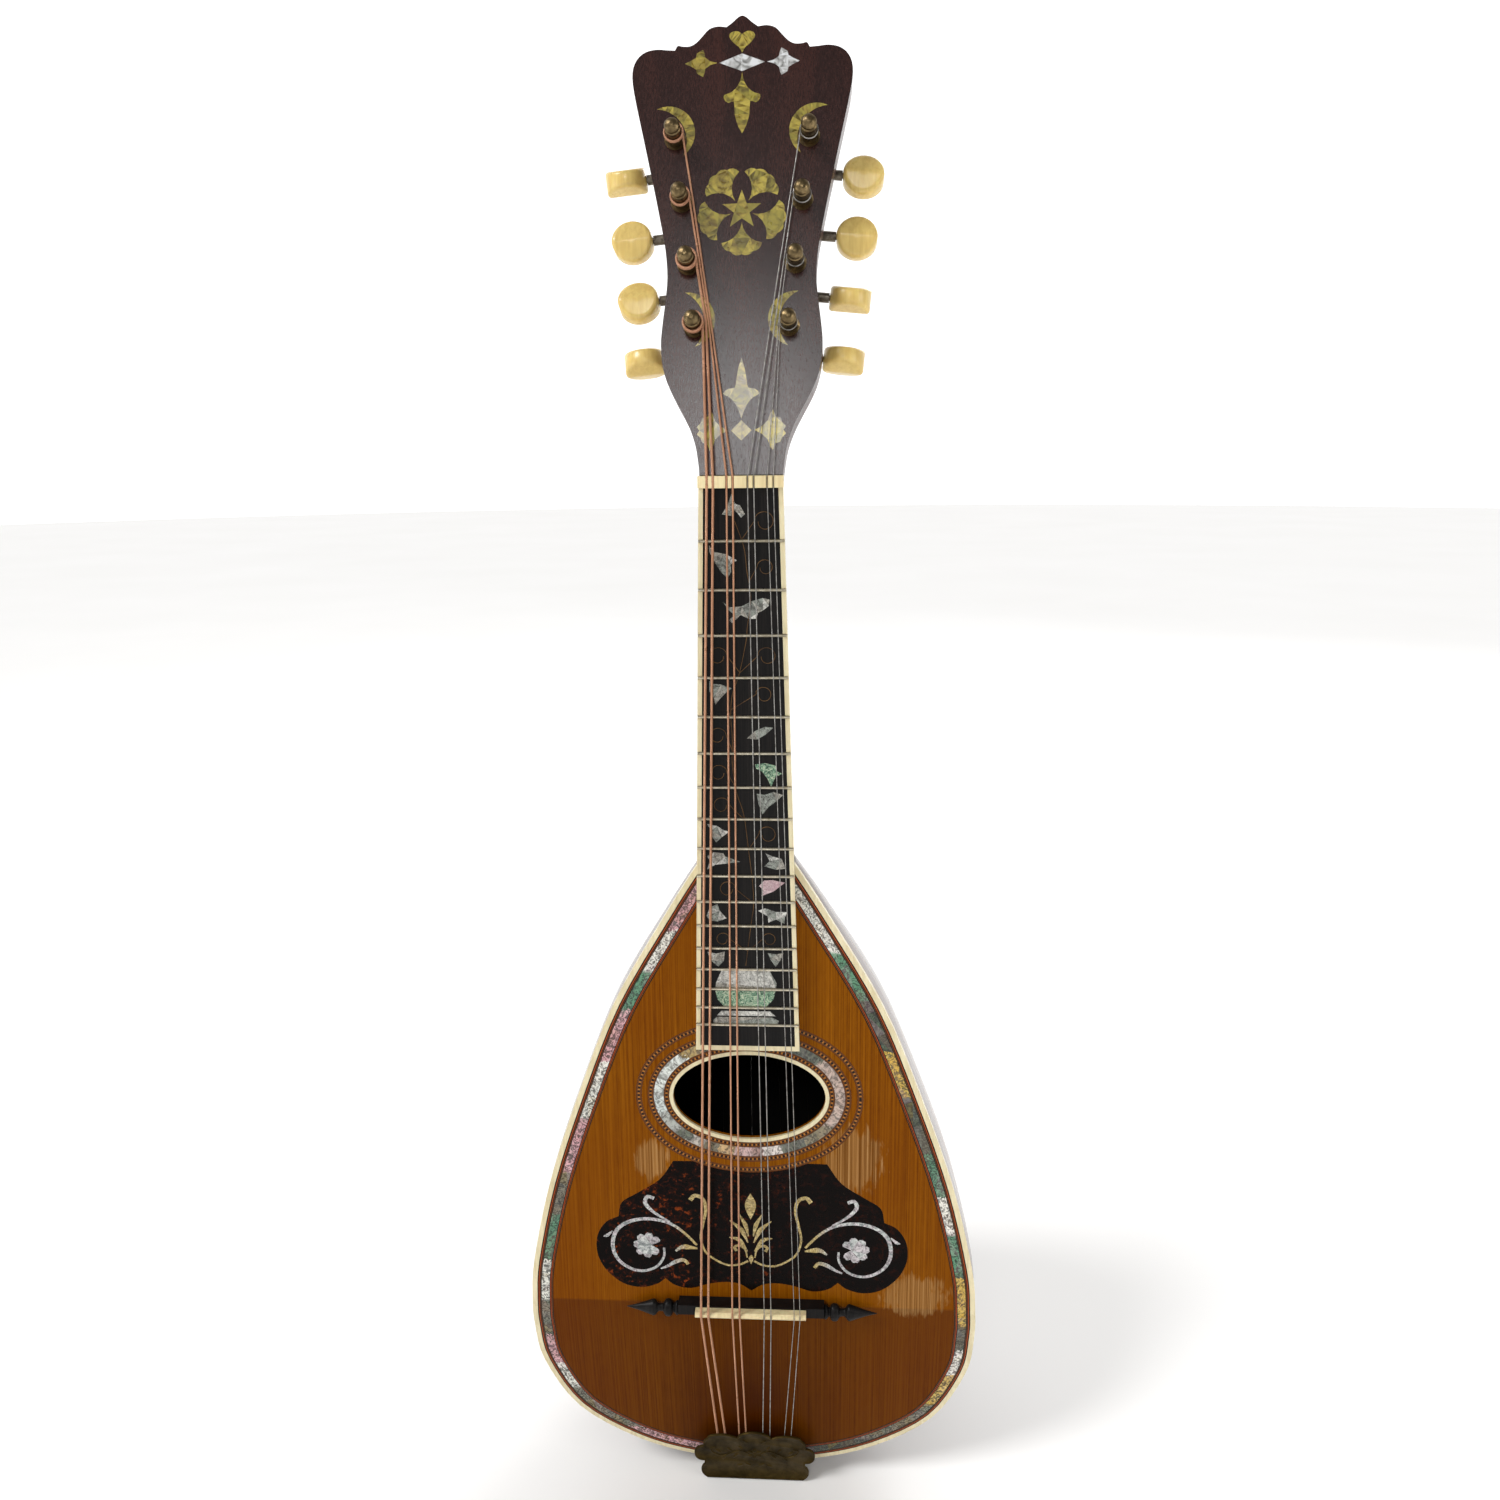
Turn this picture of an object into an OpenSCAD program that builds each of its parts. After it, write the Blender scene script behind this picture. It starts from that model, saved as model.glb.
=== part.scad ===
// Bowl-back mandolin, eight strings in four pairs, with a folded soundboard,
// geared tuners, pearl bands, a shell pickguard and a pressed metal tail cover.
// Every node is laid out lying flat (x right, y up the neck, z out of the
// soundboard) and then stood upright, so the strings face -Y and the head is up.
// The origin is on the centre line, at the board side of the nut, in the
// soundboard's plane.

/* [Scale and fingerboard] */
// Open string length that sets the frets
scale_len = 330; // [325:1:335]
// Number of frets
fret_count = 17; // [12:1:17]
// Fingerboard width at the nut
board_w_nut = 30.1; // [29:0.1:31]
// Fingerboard width at its lower end
board_w_end = 40.9; // [40:0.1:42]
// Fingerboard length from the nut
board_len = 217.5; // [217:0.5:218]
// Fingerboard thickness
board_t = 5; // [4.5:0.1:5.5]

/* [Body] */
// Soundboard thickness
top_t = 2.6; // [2.4:0.1:2.8]
// Place of the fold across the soundboard, below the nut
fold_drop = 337; // [337:1:337]
// Angle of the fold
fold_angle = 9; // [6:0.5:10]
// Bowl depth as a share of its half width
bowl_ratio = 1.25; // [1.15:0.01:1.3]
// Number of ribs in the bowl
rib_count = 21; // [15:2:25]
// Rib thickness
rib_t = 1.6; // [1.4:0.1:1.8]

/* [Soundhole and rosette] */
// Distance of the soundhole's centre below the nut
hole_drop = 240.7; // [240:0.1:241.5]
// Half width of the soundhole
hole_a = 30.8; // [30:0.1:31.5]
// Half height of the soundhole
hole_b = 18.7; // [18:0.1:19]

/* [Bridge] */
// Height of the strings at the bridge
saddle_h = 10; // [9:0.1:11]
// Half length of the bridge's plain beam
beam_half = 30.5; // [29:0.5:32]

/* [Headstock and tuners] */
// Backward tilt of the headstock
head_tilt = 13; // [11:0.5:15]
// Thickness of the headstock with its face veneer
head_t = 11; // [11:0.5:11]
// Distance between neighbouring posts
post_pitch = 22.3; // [22.3:0.1:22.3]
// Lean of each row of posts away from the centre line
row_lean = 6; // [6:0.5:6]
// Radius of a post
post_r = 2.8; // [2.7:0.05:3]
// Height of a post above the headstock's face
post_h = 12; // [11.5:0.5:14]
// Teeth of each gear
gear_teeth = 14; // [14:1:14]
// Radius of a tuning knob
knob_r = 7.5; // [7:0.1:7.5]

/* [Hidden] */
$fn = 48;

fold_y = -fold_drop;
gap = 0.05;              // glue line between pieces of one body

// ---- curves ----------------------------------------------------------------

// one span of a Catmull-Rom curve
function span_pt(a, b, c, d, t) =
  0.5 * (2 * b + (c - a) * t + (2 * a - 5 * b + 4 * c - d) * t * t
    + (3 * b - a - 3 * c + d) * t * t * t);

// smooth curve through pts, n steps a span; before and after steer its ends
function smooth(pts, n, before = undef, after = undef) =
  let (
    last = len(pts) - 1,
    start = is_undef(before) ? 2 * pts[0] - pts[1] : before,
    end = is_undef(after) ? 2 * pts[last] - pts[last - 1] : after
  )
  [
    for (i = [0:last - 1])
      for (k = [0:n - 1])
        span_pt(i == 0 ? start : pts[i - 1], pts[i], pts[i + 1],
          i == last - 1 ? end : pts[i + 2], k / n),
    pts[last]
  ];

// arc from p to q that swells by rise to the left of the way from p to q
function arc(p, q, rise, n = 6) =
  let (
    chord = q - p,
    half = norm(chord) / 2,
    side = [-chord.y, chord.x] / (2 * half),
    r = (half * half + rise * rise) / (2 * rise),
    mid = (p + q) / 2 + side * (rise - r),
    a0 = atan2(p.y - mid.y, p.x - mid.x),
    a1 = atan2(q.y - mid.y, q.x - mid.x),
    turn = rise > 0 ? (a1 - a0 > 0 ? a1 - a0 - 360 : a1 - a0)
      : (a1 - a0 < 0 ? a1 - a0 + 360 : a1 - a0)
  )
  [for (k = [0:n]) mid + abs(r) * [cos(a0 + turn * k / n), sin(a0 + turn * k / n)]];

// unit direction of a point list at place i
function way(pts, i) =
  let (d = pts[min(i + 1, len(pts) - 1)] - pts[max(i - 1, 0)]) d / norm(d);

// outline of a line of varying width: wide[0] at its start, wide[1] at its
// middle and wide[2] at its end
function stroke(pts, wide) =
  let (
    last = len(pts) - 1,
    half = [for (i = [0:last]) let (t = i / last)
      (t < 0.5 ? wide[0] + (wide[1] - wide[0]) * 2 * t
        : wide[1] + (wide[2] - wide[1]) * (2 * t - 1)) / 2]
  )
  concat(
    [for (i = [0:last]) pts[i] + half[i] * [-way(pts, i).y, way(pts, i).x]],
    [for (i = [last:-1:0]) pts[i] - half[i] * [-way(pts, i).y, way(pts, i).x]]
  );

function part_of(pts, from, to) = [for (i = [from:from <= to ? 1 : -1:to]) pts[i]];
// left half of an outline whose right half is pts; points on the axis are dropped
function mirrored(pts) =
  [for (i = [len(pts) - 1:-1:0]) if (pts[i].x > 0.001) [-pts[i].x, pts[i].y]];
// runs of points end to end, without the doubled points where they meet
function joined(runs) =
  [for (r = [0:len(runs) - 1]) each part_of(runs[r], r == 0 ? 0 : 1, len(runs[r]) - 1)];
function both_sides(pts) = concat(pts, mirrored(pts));

module twin() {
  children();
  mirror([1, 0, 0]) children();
}

module upright() {
  rotate([90, 0, 0]) children();
}

// solid through a list of closed sections with the same number of points
module loft(sections) {
  m = len(sections[0]);
  last = len(sections) - 1;
  polyhedron(
    points = [for (s = sections) for (p = s) p],
    faces = concat(
      [[for (k = [0:m - 1]) k]],
      [for (i = [0:last - 1]) for (k = [0:m - 1])
        let (a = i * m + k, b = i * m + (k + 1) % m) each [[a, a + m, b], [b, a + m, b + m]]],
      [[for (k = [m - 1:-1:0]) last * m + k]]
    )
  );
}

// ---- body outline ----------------------------------------------------------

// right half of the soundboard before it is folded: half width, place
edge_points = [
  [18.6, -141.5], [32, -163], [53.4, -200.5], [69.2, -240], [82.9, -280.5], [91.6, -318],
  [93.4, fold_y], [93.7, -352], [91, -373], [77.6, -400], [53, -418.5], [27.5, -427.6],
  [0, -430.4]
];
edge_steps = 4;
edge = smooth(edge_points, edge_steps, [8, -126], [-27.5, -427.6]);
edge_last = len(edge) - 1;
edge_fold = 6 * edge_steps;

// inward direction, square to the fold and to the centre line where they cross it
function edge_in(i) =
  i == edge_fold ? [-1, 0] : i == edge_last ? [0, 1] : let (d = way(edge, i)) [d.y, -d.x];
function inset(d) = [for (i = [0:edge_last]) edge[i] + d * edge_in(i)];

module folded() {
  translate([0, fold_y, 0]) rotate([fold_angle, 0, 0]) translate([0, -fold_y, 0]) children();
}

// flat shape of everything inside a given inset
module board_upper(d) {
  polygon(both_sides(part_of(inset(d), 0, edge_fold)));
}
module board_lower(d) {
  polygon(both_sides(part_of(inset(d), edge_fold, edge_last)));
}
module board_solid(d, thick) {
  translate([0, 0, -thick]) linear_extrude(thick) board_upper(d);
  folded() translate([0, 0, -thick]) linear_extrude(thick) board_lower(d);
}

// strip that follows the edge from sample i0 to i1, between two insets
function strip(d0, d1, i0, i1) =
  concat(part_of(inset(d0), i0, i1), part_of(inset(d1), i1, i0));

module edge_strip(d0, d1, top, thick, i0 = 0, i1 = edge_last) {
  translate([0, 0, top - thick]) linear_extrude(thick)
    twin() polygon(strip(d0, d1, i0, min(i1, edge_fold)));
  folded() translate([0, 0, top - thick]) linear_extrude(thick)
    twin() polygon(strip(d0, d1, edge_fold, i1));
}

// ---- insets of the border, from the outside in -----------------------------

binding_w = 2.1;
dark_line = 3.85;        // lines outside the pearl
pearl_in = 7.3;          // inner side of the pearl
border_in = 8.8;         // inner side of the double black line
inlay_t = 1.2;           // thickness of everything let into the soundboard

// ---- soundhole and rosette -------------------------------------------------

// ring of points a distance d outside the soundhole's edge
function hole_ring(d, n = 72) =
  [for (k = [0:n - 1])
    let (
      a = 360 * k / n,
      square = [cos(a) / hole_a, sin(a) / hole_b],
      out = square / norm(square)
    )
    [hole_a * cos(a), hole_b * sin(a) - hole_drop] + d * out];

module ring_between(d0, d1, top, thick) {
  translate([0, 0, top - thick]) linear_extrude(thick) difference() {
    polygon(hole_ring(d1));
    polygon(hole_ring(d0));
  }
}

hole_bind_w = 1.55;
rope_1 = [1.6, 3.85];
pearl_ring = [3.9, 7.9];
rope_2 = [7.95, 10.4];
rope_3 = [12.8, 15.2];

// ---- pickguard outline -----------------------------------------------------

guard_half = joined([
  smooth([[31.5, -270.2], [37.5, -279], [47, -285.5], [53.5, -290], [55.1, -296.6]], 4),
  smooth([[55.1, -296.6], [60.5, -299.5], [64.3, -306], [64.6, -314.5], [61, -322.5],
    [54, -328.6], [46.5, -330.2], [40, -328.5], [36.2, -325.6]], 4),
  smooth([[36.2, -325.6], [32, -328.8], [25.5, -330], [18, -327.7], [11, -326.6],
    [5, -327.3], [0, -330.4]], 4)
]);
// part of the outer rosette ring that bounds the pickguard's top
guard_top = [for (p = hole_ring(rope_3[1] + gap)) if (p.y < -269.9 && abs(p.x) < 31.5) p];
guard_t = 1.1;

module guard_shape() {
  polygon(concat(guard_half, mirrored(guard_half), guard_top));
}

// ---- soundboard ------------------------------------------------------------

module soundboard() {
  color("peru") upright() difference() {
    board_solid(binding_w + gap, top_t);
    edge_strip(0, border_in + gap, 0.5, inlay_t + 0.5);
    translate([0, 0, -top_t - 1]) linear_extrude(top_t + 2) polygon(hole_ring(0));
    ring_between(-1, rope_2[1], 0.5, inlay_t + 0.5);
    ring_between(rope_3[0], rope_3[1], 0.5, inlay_t + 0.5);
    translate([0, 0, -guard_t]) linear_extrude(guard_t + 1) guard_shape();
  }
}

module body_binding() {
  color("ivory") upright() edge_strip(0, binding_w, 0, top_t);
}

module edge_purfling() {
  color("saddlebrown") upright() {
    edge_strip(binding_w + gap, dark_line, 0, inlay_t);
    edge_strip(pearl_in + gap, border_in, 0, inlay_t);
  }
}

// the pearl band is a row of short pieces
module edge_pearl() {
  pieces = edge_last / 2;
  color("lightcyan") upright() for (k = [0:pieces - 1])
    edge_piece(2 * k);
}
module edge_piece(i) {
  a = inset(dark_line + gap);
  b = inset(pearl_in);
  cut = 0.02;
  ring = concat(part_of(a, i, i + 2), part_of(b, i + 2, i));
  mid = (a[i + 1] + b[i + 1]) / 2;
  trimmed = [for (p = ring) p + cut * (mid - p) / norm(mid - p)];
  twin() if (i < edge_fold) edge_tile(trimmed);
  else folded() edge_tile(trimmed);
}
module edge_tile(shape) {
  translate([0, 0, -inlay_t]) linear_extrude(inlay_t) polygon(shape);
}

module soundhole_binding() {
  color("ivory") upright() ring_between(0, hole_bind_w, 0, inlay_t);
}

module rosette_rings() {
  color("goldenrod") upright() {
    ring_between(rope_1[0], rope_1[1], 0, inlay_t);
    ring_between(rope_2[0], rope_2[1] - gap, 0, inlay_t);
    ring_between(rope_3[0] + gap, rope_3[1] - gap, 0, inlay_t);
  }
}

// pearl ring round the soundhole, cut into pieces of four steps
module rosette_pearl() {
  a = hole_ring(pearl_ring[0]);
  b = hole_ring(pearl_ring[1]);
  n = len(a);
  step = 4;
  color("lightcyan") upright() translate([0, 0, -inlay_t]) linear_extrude(inlay_t)
    for (k = [0:step:n - 1]) {
      ring = concat([for (j = [0:step]) a[(k + j) % n]], [for (j = [step:-1:0]) b[(k + j) % n]]);
      mid = (a[k + 2] + b[k + 2]) / 2;
      polygon([for (p = ring) p + 0.03 * (mid - p) / norm(mid - p)]);
    }
}

// ---- pickguard and its scrolls ---------------------------------------------

module pickguard() {
  color("black") upright() difference() {
    translate([0, 0, -guard_t]) linear_extrude(guard_t) guard_shape();
    translate([0, 0, -guard_inlay_t]) linear_extrude(guard_inlay_t + 1) guard_scrolls();
  }
}
module pickguard_inlays() {
  color("silver") upright() translate([0, 0, -guard_inlay_t]) linear_extrude(guard_inlay_t)
    guard_scrolls();
}
guard_inlay_t = 0.6;

// flower head with notched petals
module carnation(c, r, turn) {
  petals = 7;
  steps = 6;
  translate(c) rotate(turn) polygon([
    for (k = [0:petals * steps - 1])
      let (
        t = (k % steps) / steps,
        reach = r * (0.74 + 0.26 * sin(180 * t) + (abs(t - 0.5) < 0.1 ? -0.07 : 0))
      )
      reach * [cos(330 * k / (petals * steps)), sin(330 * k / (petals * steps))],
    [0.25 * r, -0.1 * r]
  ]);
}

module guard_scrolls() {
  twin() {
    // gold stem from the centre bud, rising to a hook
    polygon(stroke(smooth([[1.2, -316.2], [4.8, -318], [9.9, -318.4], [15, -316], [19, -312.4],
      [20.9, -306], [19.9, -299.5], [18.6, -292.6], [19.6, -287.6], [22.9, -286], [25, -288.2]], 4),
      [0.9, 0.9, 1.9]));
    // long scroll that rolls up round the flower
    polygon(stroke(smooth([[22.6, -309.4], [25.6, -305.9], [29.6, -302], [34.1, -299.2],
      [40.2, -297.6], [46.3, -297.7], [52.3, -299.8], [56.6, -304], [58, -310.9], [55.9, -317.2],
      [50.8, -321.3], [45.3, -322.3], [39.9, -320.2], [36.6, -315.4], [36.4, -310.9]], 4),
      [1, 1.7, 0.9]));
    carnation([43.3, -309.9], 6.2, 200);
    // hooked leaf above the scroll
    polygon(stroke(smooth([[33.6, -298.6], [38.5, -295.6], [42, -292.6], [43.8, -289.6],
      [42.6, -287], [40, -287.8]], 3), [0.7, 1.7, 1.5]));
    // leaf below the scroll
    polygon(stroke(smooth([[38, -321], [35, -319.6], [31.5, -317.4], [28.2, -316.6],
      [26.4, -318.6]], 4), [0.7, 1.8, 1.4]));
    // leaf beside the stem
    polygon(stroke(smooth([[22.4, -310.9], [25.5, -310.5], [28.8, -310.4], [31.6, -312.4]], 4),
      [0.7, 2.4, 0.8]));
    // barb on the outer side of the scroll
    polygon(stroke(smooth([[57.9, -303.6], [60.2, -305.8], [61.8, -306.2]], 3), [0.6, 1.5, 0.3]));
    // leaves of the centre spray
    for (leaf = [[[1.2, -307.5], [4, -301.5], [8.6, -297.2], 2.2],
      [[1.5, -311.6], [4.8, -306.4], [9, -305.2], 2],
      [[1.1, -304.5], [2.2, -299.2], [5, -293.8], 1.9]])
      polygon(stroke(smooth([leaf[0], leaf[1], leaf[2]], 4), [0.5, leaf[3], 0.4]));
    // small volute at the foot of the spray
    polygon(stroke(smooth([[1.6, -314.6], [2.4, -310.9], [4.8, -308.9], [6.8, -309.8],
      [6, -311.6]], 4), [0.6, 1.1, 1.3]));
  }
  // spear leaf on top and bud at the foot
  polygon(both_sides(smooth([[0, -284.4], [2.1, -288.4], [1.9, -292.2], [0, -296.6]], 5)));
  polygon(both_sides(smooth([[0, -313.2], [1, -314.9], [0, -317.8]], 5)));
}

// ---- bowl ------------------------------------------------------------------

rim_angle = 8;            // how far the ribs bulge past the rim
rim_drop = top_t + 0.1;   // the ribs start under the soundboard

// point of the bowl at edge sample i and angle a round it
function bowl_raw(i, a) =
  let (
    w = edge[i].x / cos(rim_angle),
    past = min(edge[i].y - fold_y, 0),
    y = edge[i].y - past + past * cos(fold_angle),
    z = past * sin(fold_angle)
  )
  [w * cos(a), y, z - rim_drop - bowl_ratio * w * (sin(a) + sin(rim_angle))];

// the same point moved inwards by d
function bowl_pt(i, a, d) =
  let (
    along = bowl_raw(min(i + 1, edge_last - 1), a) - bowl_raw(max(i - 1, 0), a),
    round = bowl_raw(i, a + 1) - bowl_raw(i, a - 1),
    n = cross(along, round)
  )
  bowl_raw(i, a) - d * n / norm(n);

// patch of shell over a list of samples, from angle a0 to a1 in n steps, between
// an inner and an outer surface, with a clearance left free along its long sides
module bowl_patch(samples, a0, a1, n, inner, outer, cut) {
  rows = len(samples);
  cols = n + 1;
  grid = rows * cols;
  function slack(i) = cut / edge[i].x * 57.3;
  function turn(i, k) = a0 + slack(i) + (a1 - a0 - 2 * slack(i)) * k / n;
  function at(side, r, k) = side * grid + r * cols + k;
  points = [for (d = [inner, outer]) for (i = samples) for (k = [0:n]) bowl_pt(i, turn(i, k), d)];
  faces = [
    for (r = [0:rows - 2]) for (k = [0:n - 1]) each [
      [at(0, r, k), at(0, r + 1, k), at(0, r, k + 1)],
      [at(0, r, k + 1), at(0, r + 1, k), at(0, r + 1, k + 1)],
      [at(1, r, k), at(1, r, k + 1), at(1, r + 1, k)],
      [at(1, r, k + 1), at(1, r + 1, k + 1), at(1, r + 1, k)]
    ],
    for (r = [0:rows - 2]) each [
      [at(0, r, 0), at(1, r, 0), at(0, r + 1, 0)],
      [at(1, r, 0), at(1, r + 1, 0), at(0, r + 1, 0)],
      [at(0, r, n), at(0, r + 1, n), at(1, r, n)],
      [at(1, r, n), at(0, r + 1, n), at(1, r + 1, n)]
    ],
    for (k = [0:n - 1]) each [
      [at(0, 0, k), at(0, 0, k + 1), at(1, 0, k)],
      [at(1, 0, k), at(0, 0, k + 1), at(1, 0, k + 1)],
      [at(0, rows - 1, k), at(1, rows - 1, k), at(0, rows - 1, k + 1)],
      [at(1, rows - 1, k), at(1, rows - 1, k + 1), at(0, rows - 1, k + 1)]
    ]
  ];
  polyhedron(points = points, faces = faces);
}

rib_samples = [0, 2, 4, 7, 10, 13, 17, 21, 24, 27, 30, 33, 36, 39, 42, 44, 46];

module bowl_ribs() {
  sweep = (180 + 2 * rim_angle) / rib_count;
  color("sienna") upright() for (k = [0:rib_count - 1])
    bowl_patch(rib_samples, sweep * k - rim_angle, sweep * (k + 1) - rim_angle, 1,
      rib_t, 0, 0.04);
}

// thin cap over the lower ends of the ribs
module bowl_clasp() {
  color("saddlebrown") upright()
    bowl_patch([39, 42, 44, 46, 47], -rim_angle, 180 + rim_angle, rib_count, -0.06, -0.5, 0);
}

// section of the bowl's inside at sample i
function bowl_section(i, d) =
  [for (k = [0:16]) bowl_pt(i, -rim_angle + 1 + (178 + 2 * rim_angle) * k / 16, d)];

module neck_block() {
  color("tan") upright() loft([for (i = [0, 2, 4, 5, 6]) bowl_section(i, rib_t + 0.15)]);
}
module tail_block() {
  color("tan") upright() loft([for (i = [42, 43, 44, 45, 46]) bowl_section(i, rib_t + 0.15)]);
}

// strips that widen the glue seat of the soundboard, between the end blocks
module rim_linings() {
  lining_w = 5;
  lining_h = 7;
  color("tan") upright()
    edge_strip(rib_t + 0.5, rib_t + 0.5 + lining_w, -top_t - gap, lining_h, 7, 39);
}

module soundboard_braces() {
  color("wheat") upright() for (y = [-212, -282, -316]) brace(y);
}
// tapered bar across the soundboard's inside, clear of the linings
module brace(y) {
  reach = lookup(y, [[-316, 83], [-282, 75.5], [-212, 49]]);
  deep = 10;
  thin = 3;
  translate([0, y + 2.5, -top_t - gap]) rotate([90, 0, 0]) linear_extrude(5)
    polygon([[-reach, 0], [-reach, -thin], [-reach / 2, -deep], [reach / 2, -deep],
      [reach, -thin], [reach, 0]]);
}

// ---- neck ------------------------------------------------------------------

function board_half(y) = (board_w_nut + (board_w_end - board_w_nut) * -y / board_len) / 2;

// neck sections: place, depth
neck_depth = [[-141.4, 29.2], [-136, 26.4], [-128, 21.6], [-118, 19], [-100, 17.8],
  [-60, 16.8], [-25, 16], [-10, 14.8], [-3, 13]];
head_foot = [0, 4.5, 1];

// half round section, flat side up, tilted by lean about its flat side
function neck_section(y, deep, lean) =
  [for (k = [0:20])
    let (a = 9 * k, x = board_half(y) * cos(a), z = -deep * pow(sin(a), 0.8))
    [x, y + z * sin(lean), z * cos(lean)]];

module neck() {
  color("saddlebrown") upright() loft(concat(
    [for (s = neck_depth) neck_section(s[0], s[1], 0)],
    [neck_section(head_foot.y - 0.35, head_t - 0.2, head_tilt)]
  ));
}

// ---- headstock -------------------------------------------------------------

module head_frame() {
  translate(head_foot) rotate([-head_tilt, 0, 0]) children();
}

// right half of the head's outline, from the crest to the nut
head_half = joined([
  smooth([[0, 162], [1.6, 161.3], [3.4, 159.7], [5.6, 158.1]], 3, [-1.6, 161.3]),
  smooth([[5.6, 158.1], [8.8, 158.4], [11.8, 157.5], [14.2, 155], [16.4, 152.8], [18.6, 151.7],
    [21.2, 151.7], [22.9, 152], [23.9, 150.4]], 3),
  smooth([[23.9, 150.4], [27, 150.6], [30.6, 150.9], [34.6, 150], [37.6, 147.4], [39.1, 143],
    [38.5, 135.7], [35, 119], [31.4, 102], [29, 90], [27.2, 80], [26.5, 70.3], [27.2, 61.8],
    [28.3, 53], [28.8, 46], [28, 38], [25.5, 30.5], [19.5, 19], [16.5, 11], [15.2, 3], [15, 0]], 3)
]);
veneer_t = 1.5;

module head_slab(top, thick) {
  translate([0, 0, top - thick]) linear_extrude(thick) polygon(both_sides(head_half));
}

module headstock() {
  color("saddlebrown") upright() head_frame() difference() {
    head_slab(-veneer_t - gap, head_t - veneer_t - gap);
    each_post() cylinder(r = bush_r, h = 60, center = true);
    each_post() plate_screw_place() translate([0, 0, -head_t - 1]) cylinder(r = 0.8, h = 7);
  }
}

module headstock_veneer() {
  color("maroon") upright() head_frame() difference() {
    head_slab(0, veneer_t);
    each_post() cylinder(r = bush_r, h = 60, center = true);
    translate([0, 0, -head_inlay_t]) linear_extrude(head_inlay_t + 1) head_figures();
  }
}
head_inlay_t = 0.8;

module headstock_inlays() {
  color("gold") upright() head_frame() difference() {
    translate([0, 0, -head_inlay_t]) linear_extrude(head_inlay_t) head_figures();
    each_post() cylinder(r = bush_r + 0.1, h = 60, center = true);
  }
}

// crescent between two tips; outer and inner are the swells of its sides
module crescent(p, q, outer, inner) {
  polygon(concat(arc(p, q, outer, 14), part_of(arc(p, q, inner, 14), 13, 1)));
}

// fan along x with a scalloped outer edge and hollow sides
module fan_petal(r0, r1, spread) {
  scallops = 4;
  steps = 4;
  corner = (r1 - 2.6) * [cos(spread), sin(spread)];
  polygon(joined([
    arc([r0, 0], [corner.x, -corner.y], 1.9, 5),
    [for (k = [0:scallops * steps])
      let (t = 2 * k / (scallops * steps) - 1)
      (r1 - 2.6 + 2 * (1 - t * t) + 0.6 * abs(sin(180 * k / steps))) * [cos(spread * t), sin(spread * t)]],
    part_of(arc(corner, [r0, 0], 1.9, 5), 0, 4)
  ]));
}

// side figures: upper half of a fleur, from its inner tip to its outer tip
fleur_axis = 145.6;
fleur = [[8.9, 0], [11.4, 0.7], [13.1, 2], [13.4, 3.6], [13.9, 4.8], [15, 4.2], [16.1, 3.5],
  [16.4, 2.1], [18, 1.1], [20.4, 0]];
function doubled(half, axis) =
  [each [for (p = half) [p.x, axis + p.y]],
    each [for (i = [len(half) - 2:-1:1]) [half[i].x, axis - half[i].y]]];
rosette_leaf_axis = 15.8;
rosette_leaf = [[4.6, 0], [7.4, 1.4], [9.4, 3.4], [10.3, 6], [11.3, 7.2], [12.1, 4.8], [13.9, 4.3],
  [14.6, 2.6], [15.9, 1.3], [15, 0]];

module head_figures() {
  // heart, diamond and pendant under the crest
  polygon(both_sides(smooth([[0, 155.6], [1.9, 156.6], [4, 156.1], [4.5, 154.5], [2.9, 152.4],
    [1.1, 150.9], [0, 149]], 4)));
  polygon([[0, 148.7], [8.1, 145.6], [0, 142.5], [-8.1, 145.6]]);
  polygon(both_sides(smooth([[0, 142.1], [0.7, 139], [2.3, 136.4], [4.4, 134.9], [6.4, 134.2],
    [6.3, 132.6], [4.8, 131.4], [2.9, 131.9], [2.6, 127.4], [1.5, 123.4], [0, 120.6]], 2)));
  // star inside five fans
  translate([0, 93.6]) {
    polygon([for (k = [0:9]) (k % 2 == 0 ? 7.2 : 2.9) * [sin(36 * k), cos(36 * k)]]);
    for (k = [0:4]) rotate(54 + 72 * k) fan_petal(4, 16.2, 32);
  }
  twin() {
    polygon(doubled(fleur, fleur_axis));
    // crescents round the top and the bottom posts
    crescent([30.4, 129.8], [20.8, 113.4], -8.8, -5.1);
    crescent([20.2, 64.8], [16.6, 45.6], -9, -5);
    polygon(doubled(rosette_leaf, rosette_leaf_axis));
  }
  // lower spear and small diamond
  polygon(both_sides(smooth([[0, 41.4], [1.1, 37.9], [1.9, 33.4], [2.4, 30.9], [4.6, 30.5],
    [6.6, 28.8], [4.3, 27.5], [1.9, 24.8], [0, 20]], 2)));
  polygon([[0, 19.4], [3.7, 15.7], [0, 12.1], [-3.7, 15.7]]);
}

// ---- tuners ----------------------------------------------------------------

row_x = 16.8;             // first post, beside the nut
row_s = 52.6;
plate_t = 1.2;
bush_r = post_r + 1.1;
worm_pitch = 2;
gear_r = gear_teeth * worm_pitch / (2 * PI);
worm_r = 1.95;            // pitch radius of the worm
tooth = 0.5;              // height of a thread or tooth above the pitch line
worm_c = gear_r + worm_r; // from post to worm axis
gear_w = -head_t - plate_t - 2.75;
gear_t = 1.7;
knob_out = 20.4;          // from post to knob centre
knob_turns = [[80, 0, 12, 100], [8, 0, 84, 96]];

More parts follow.
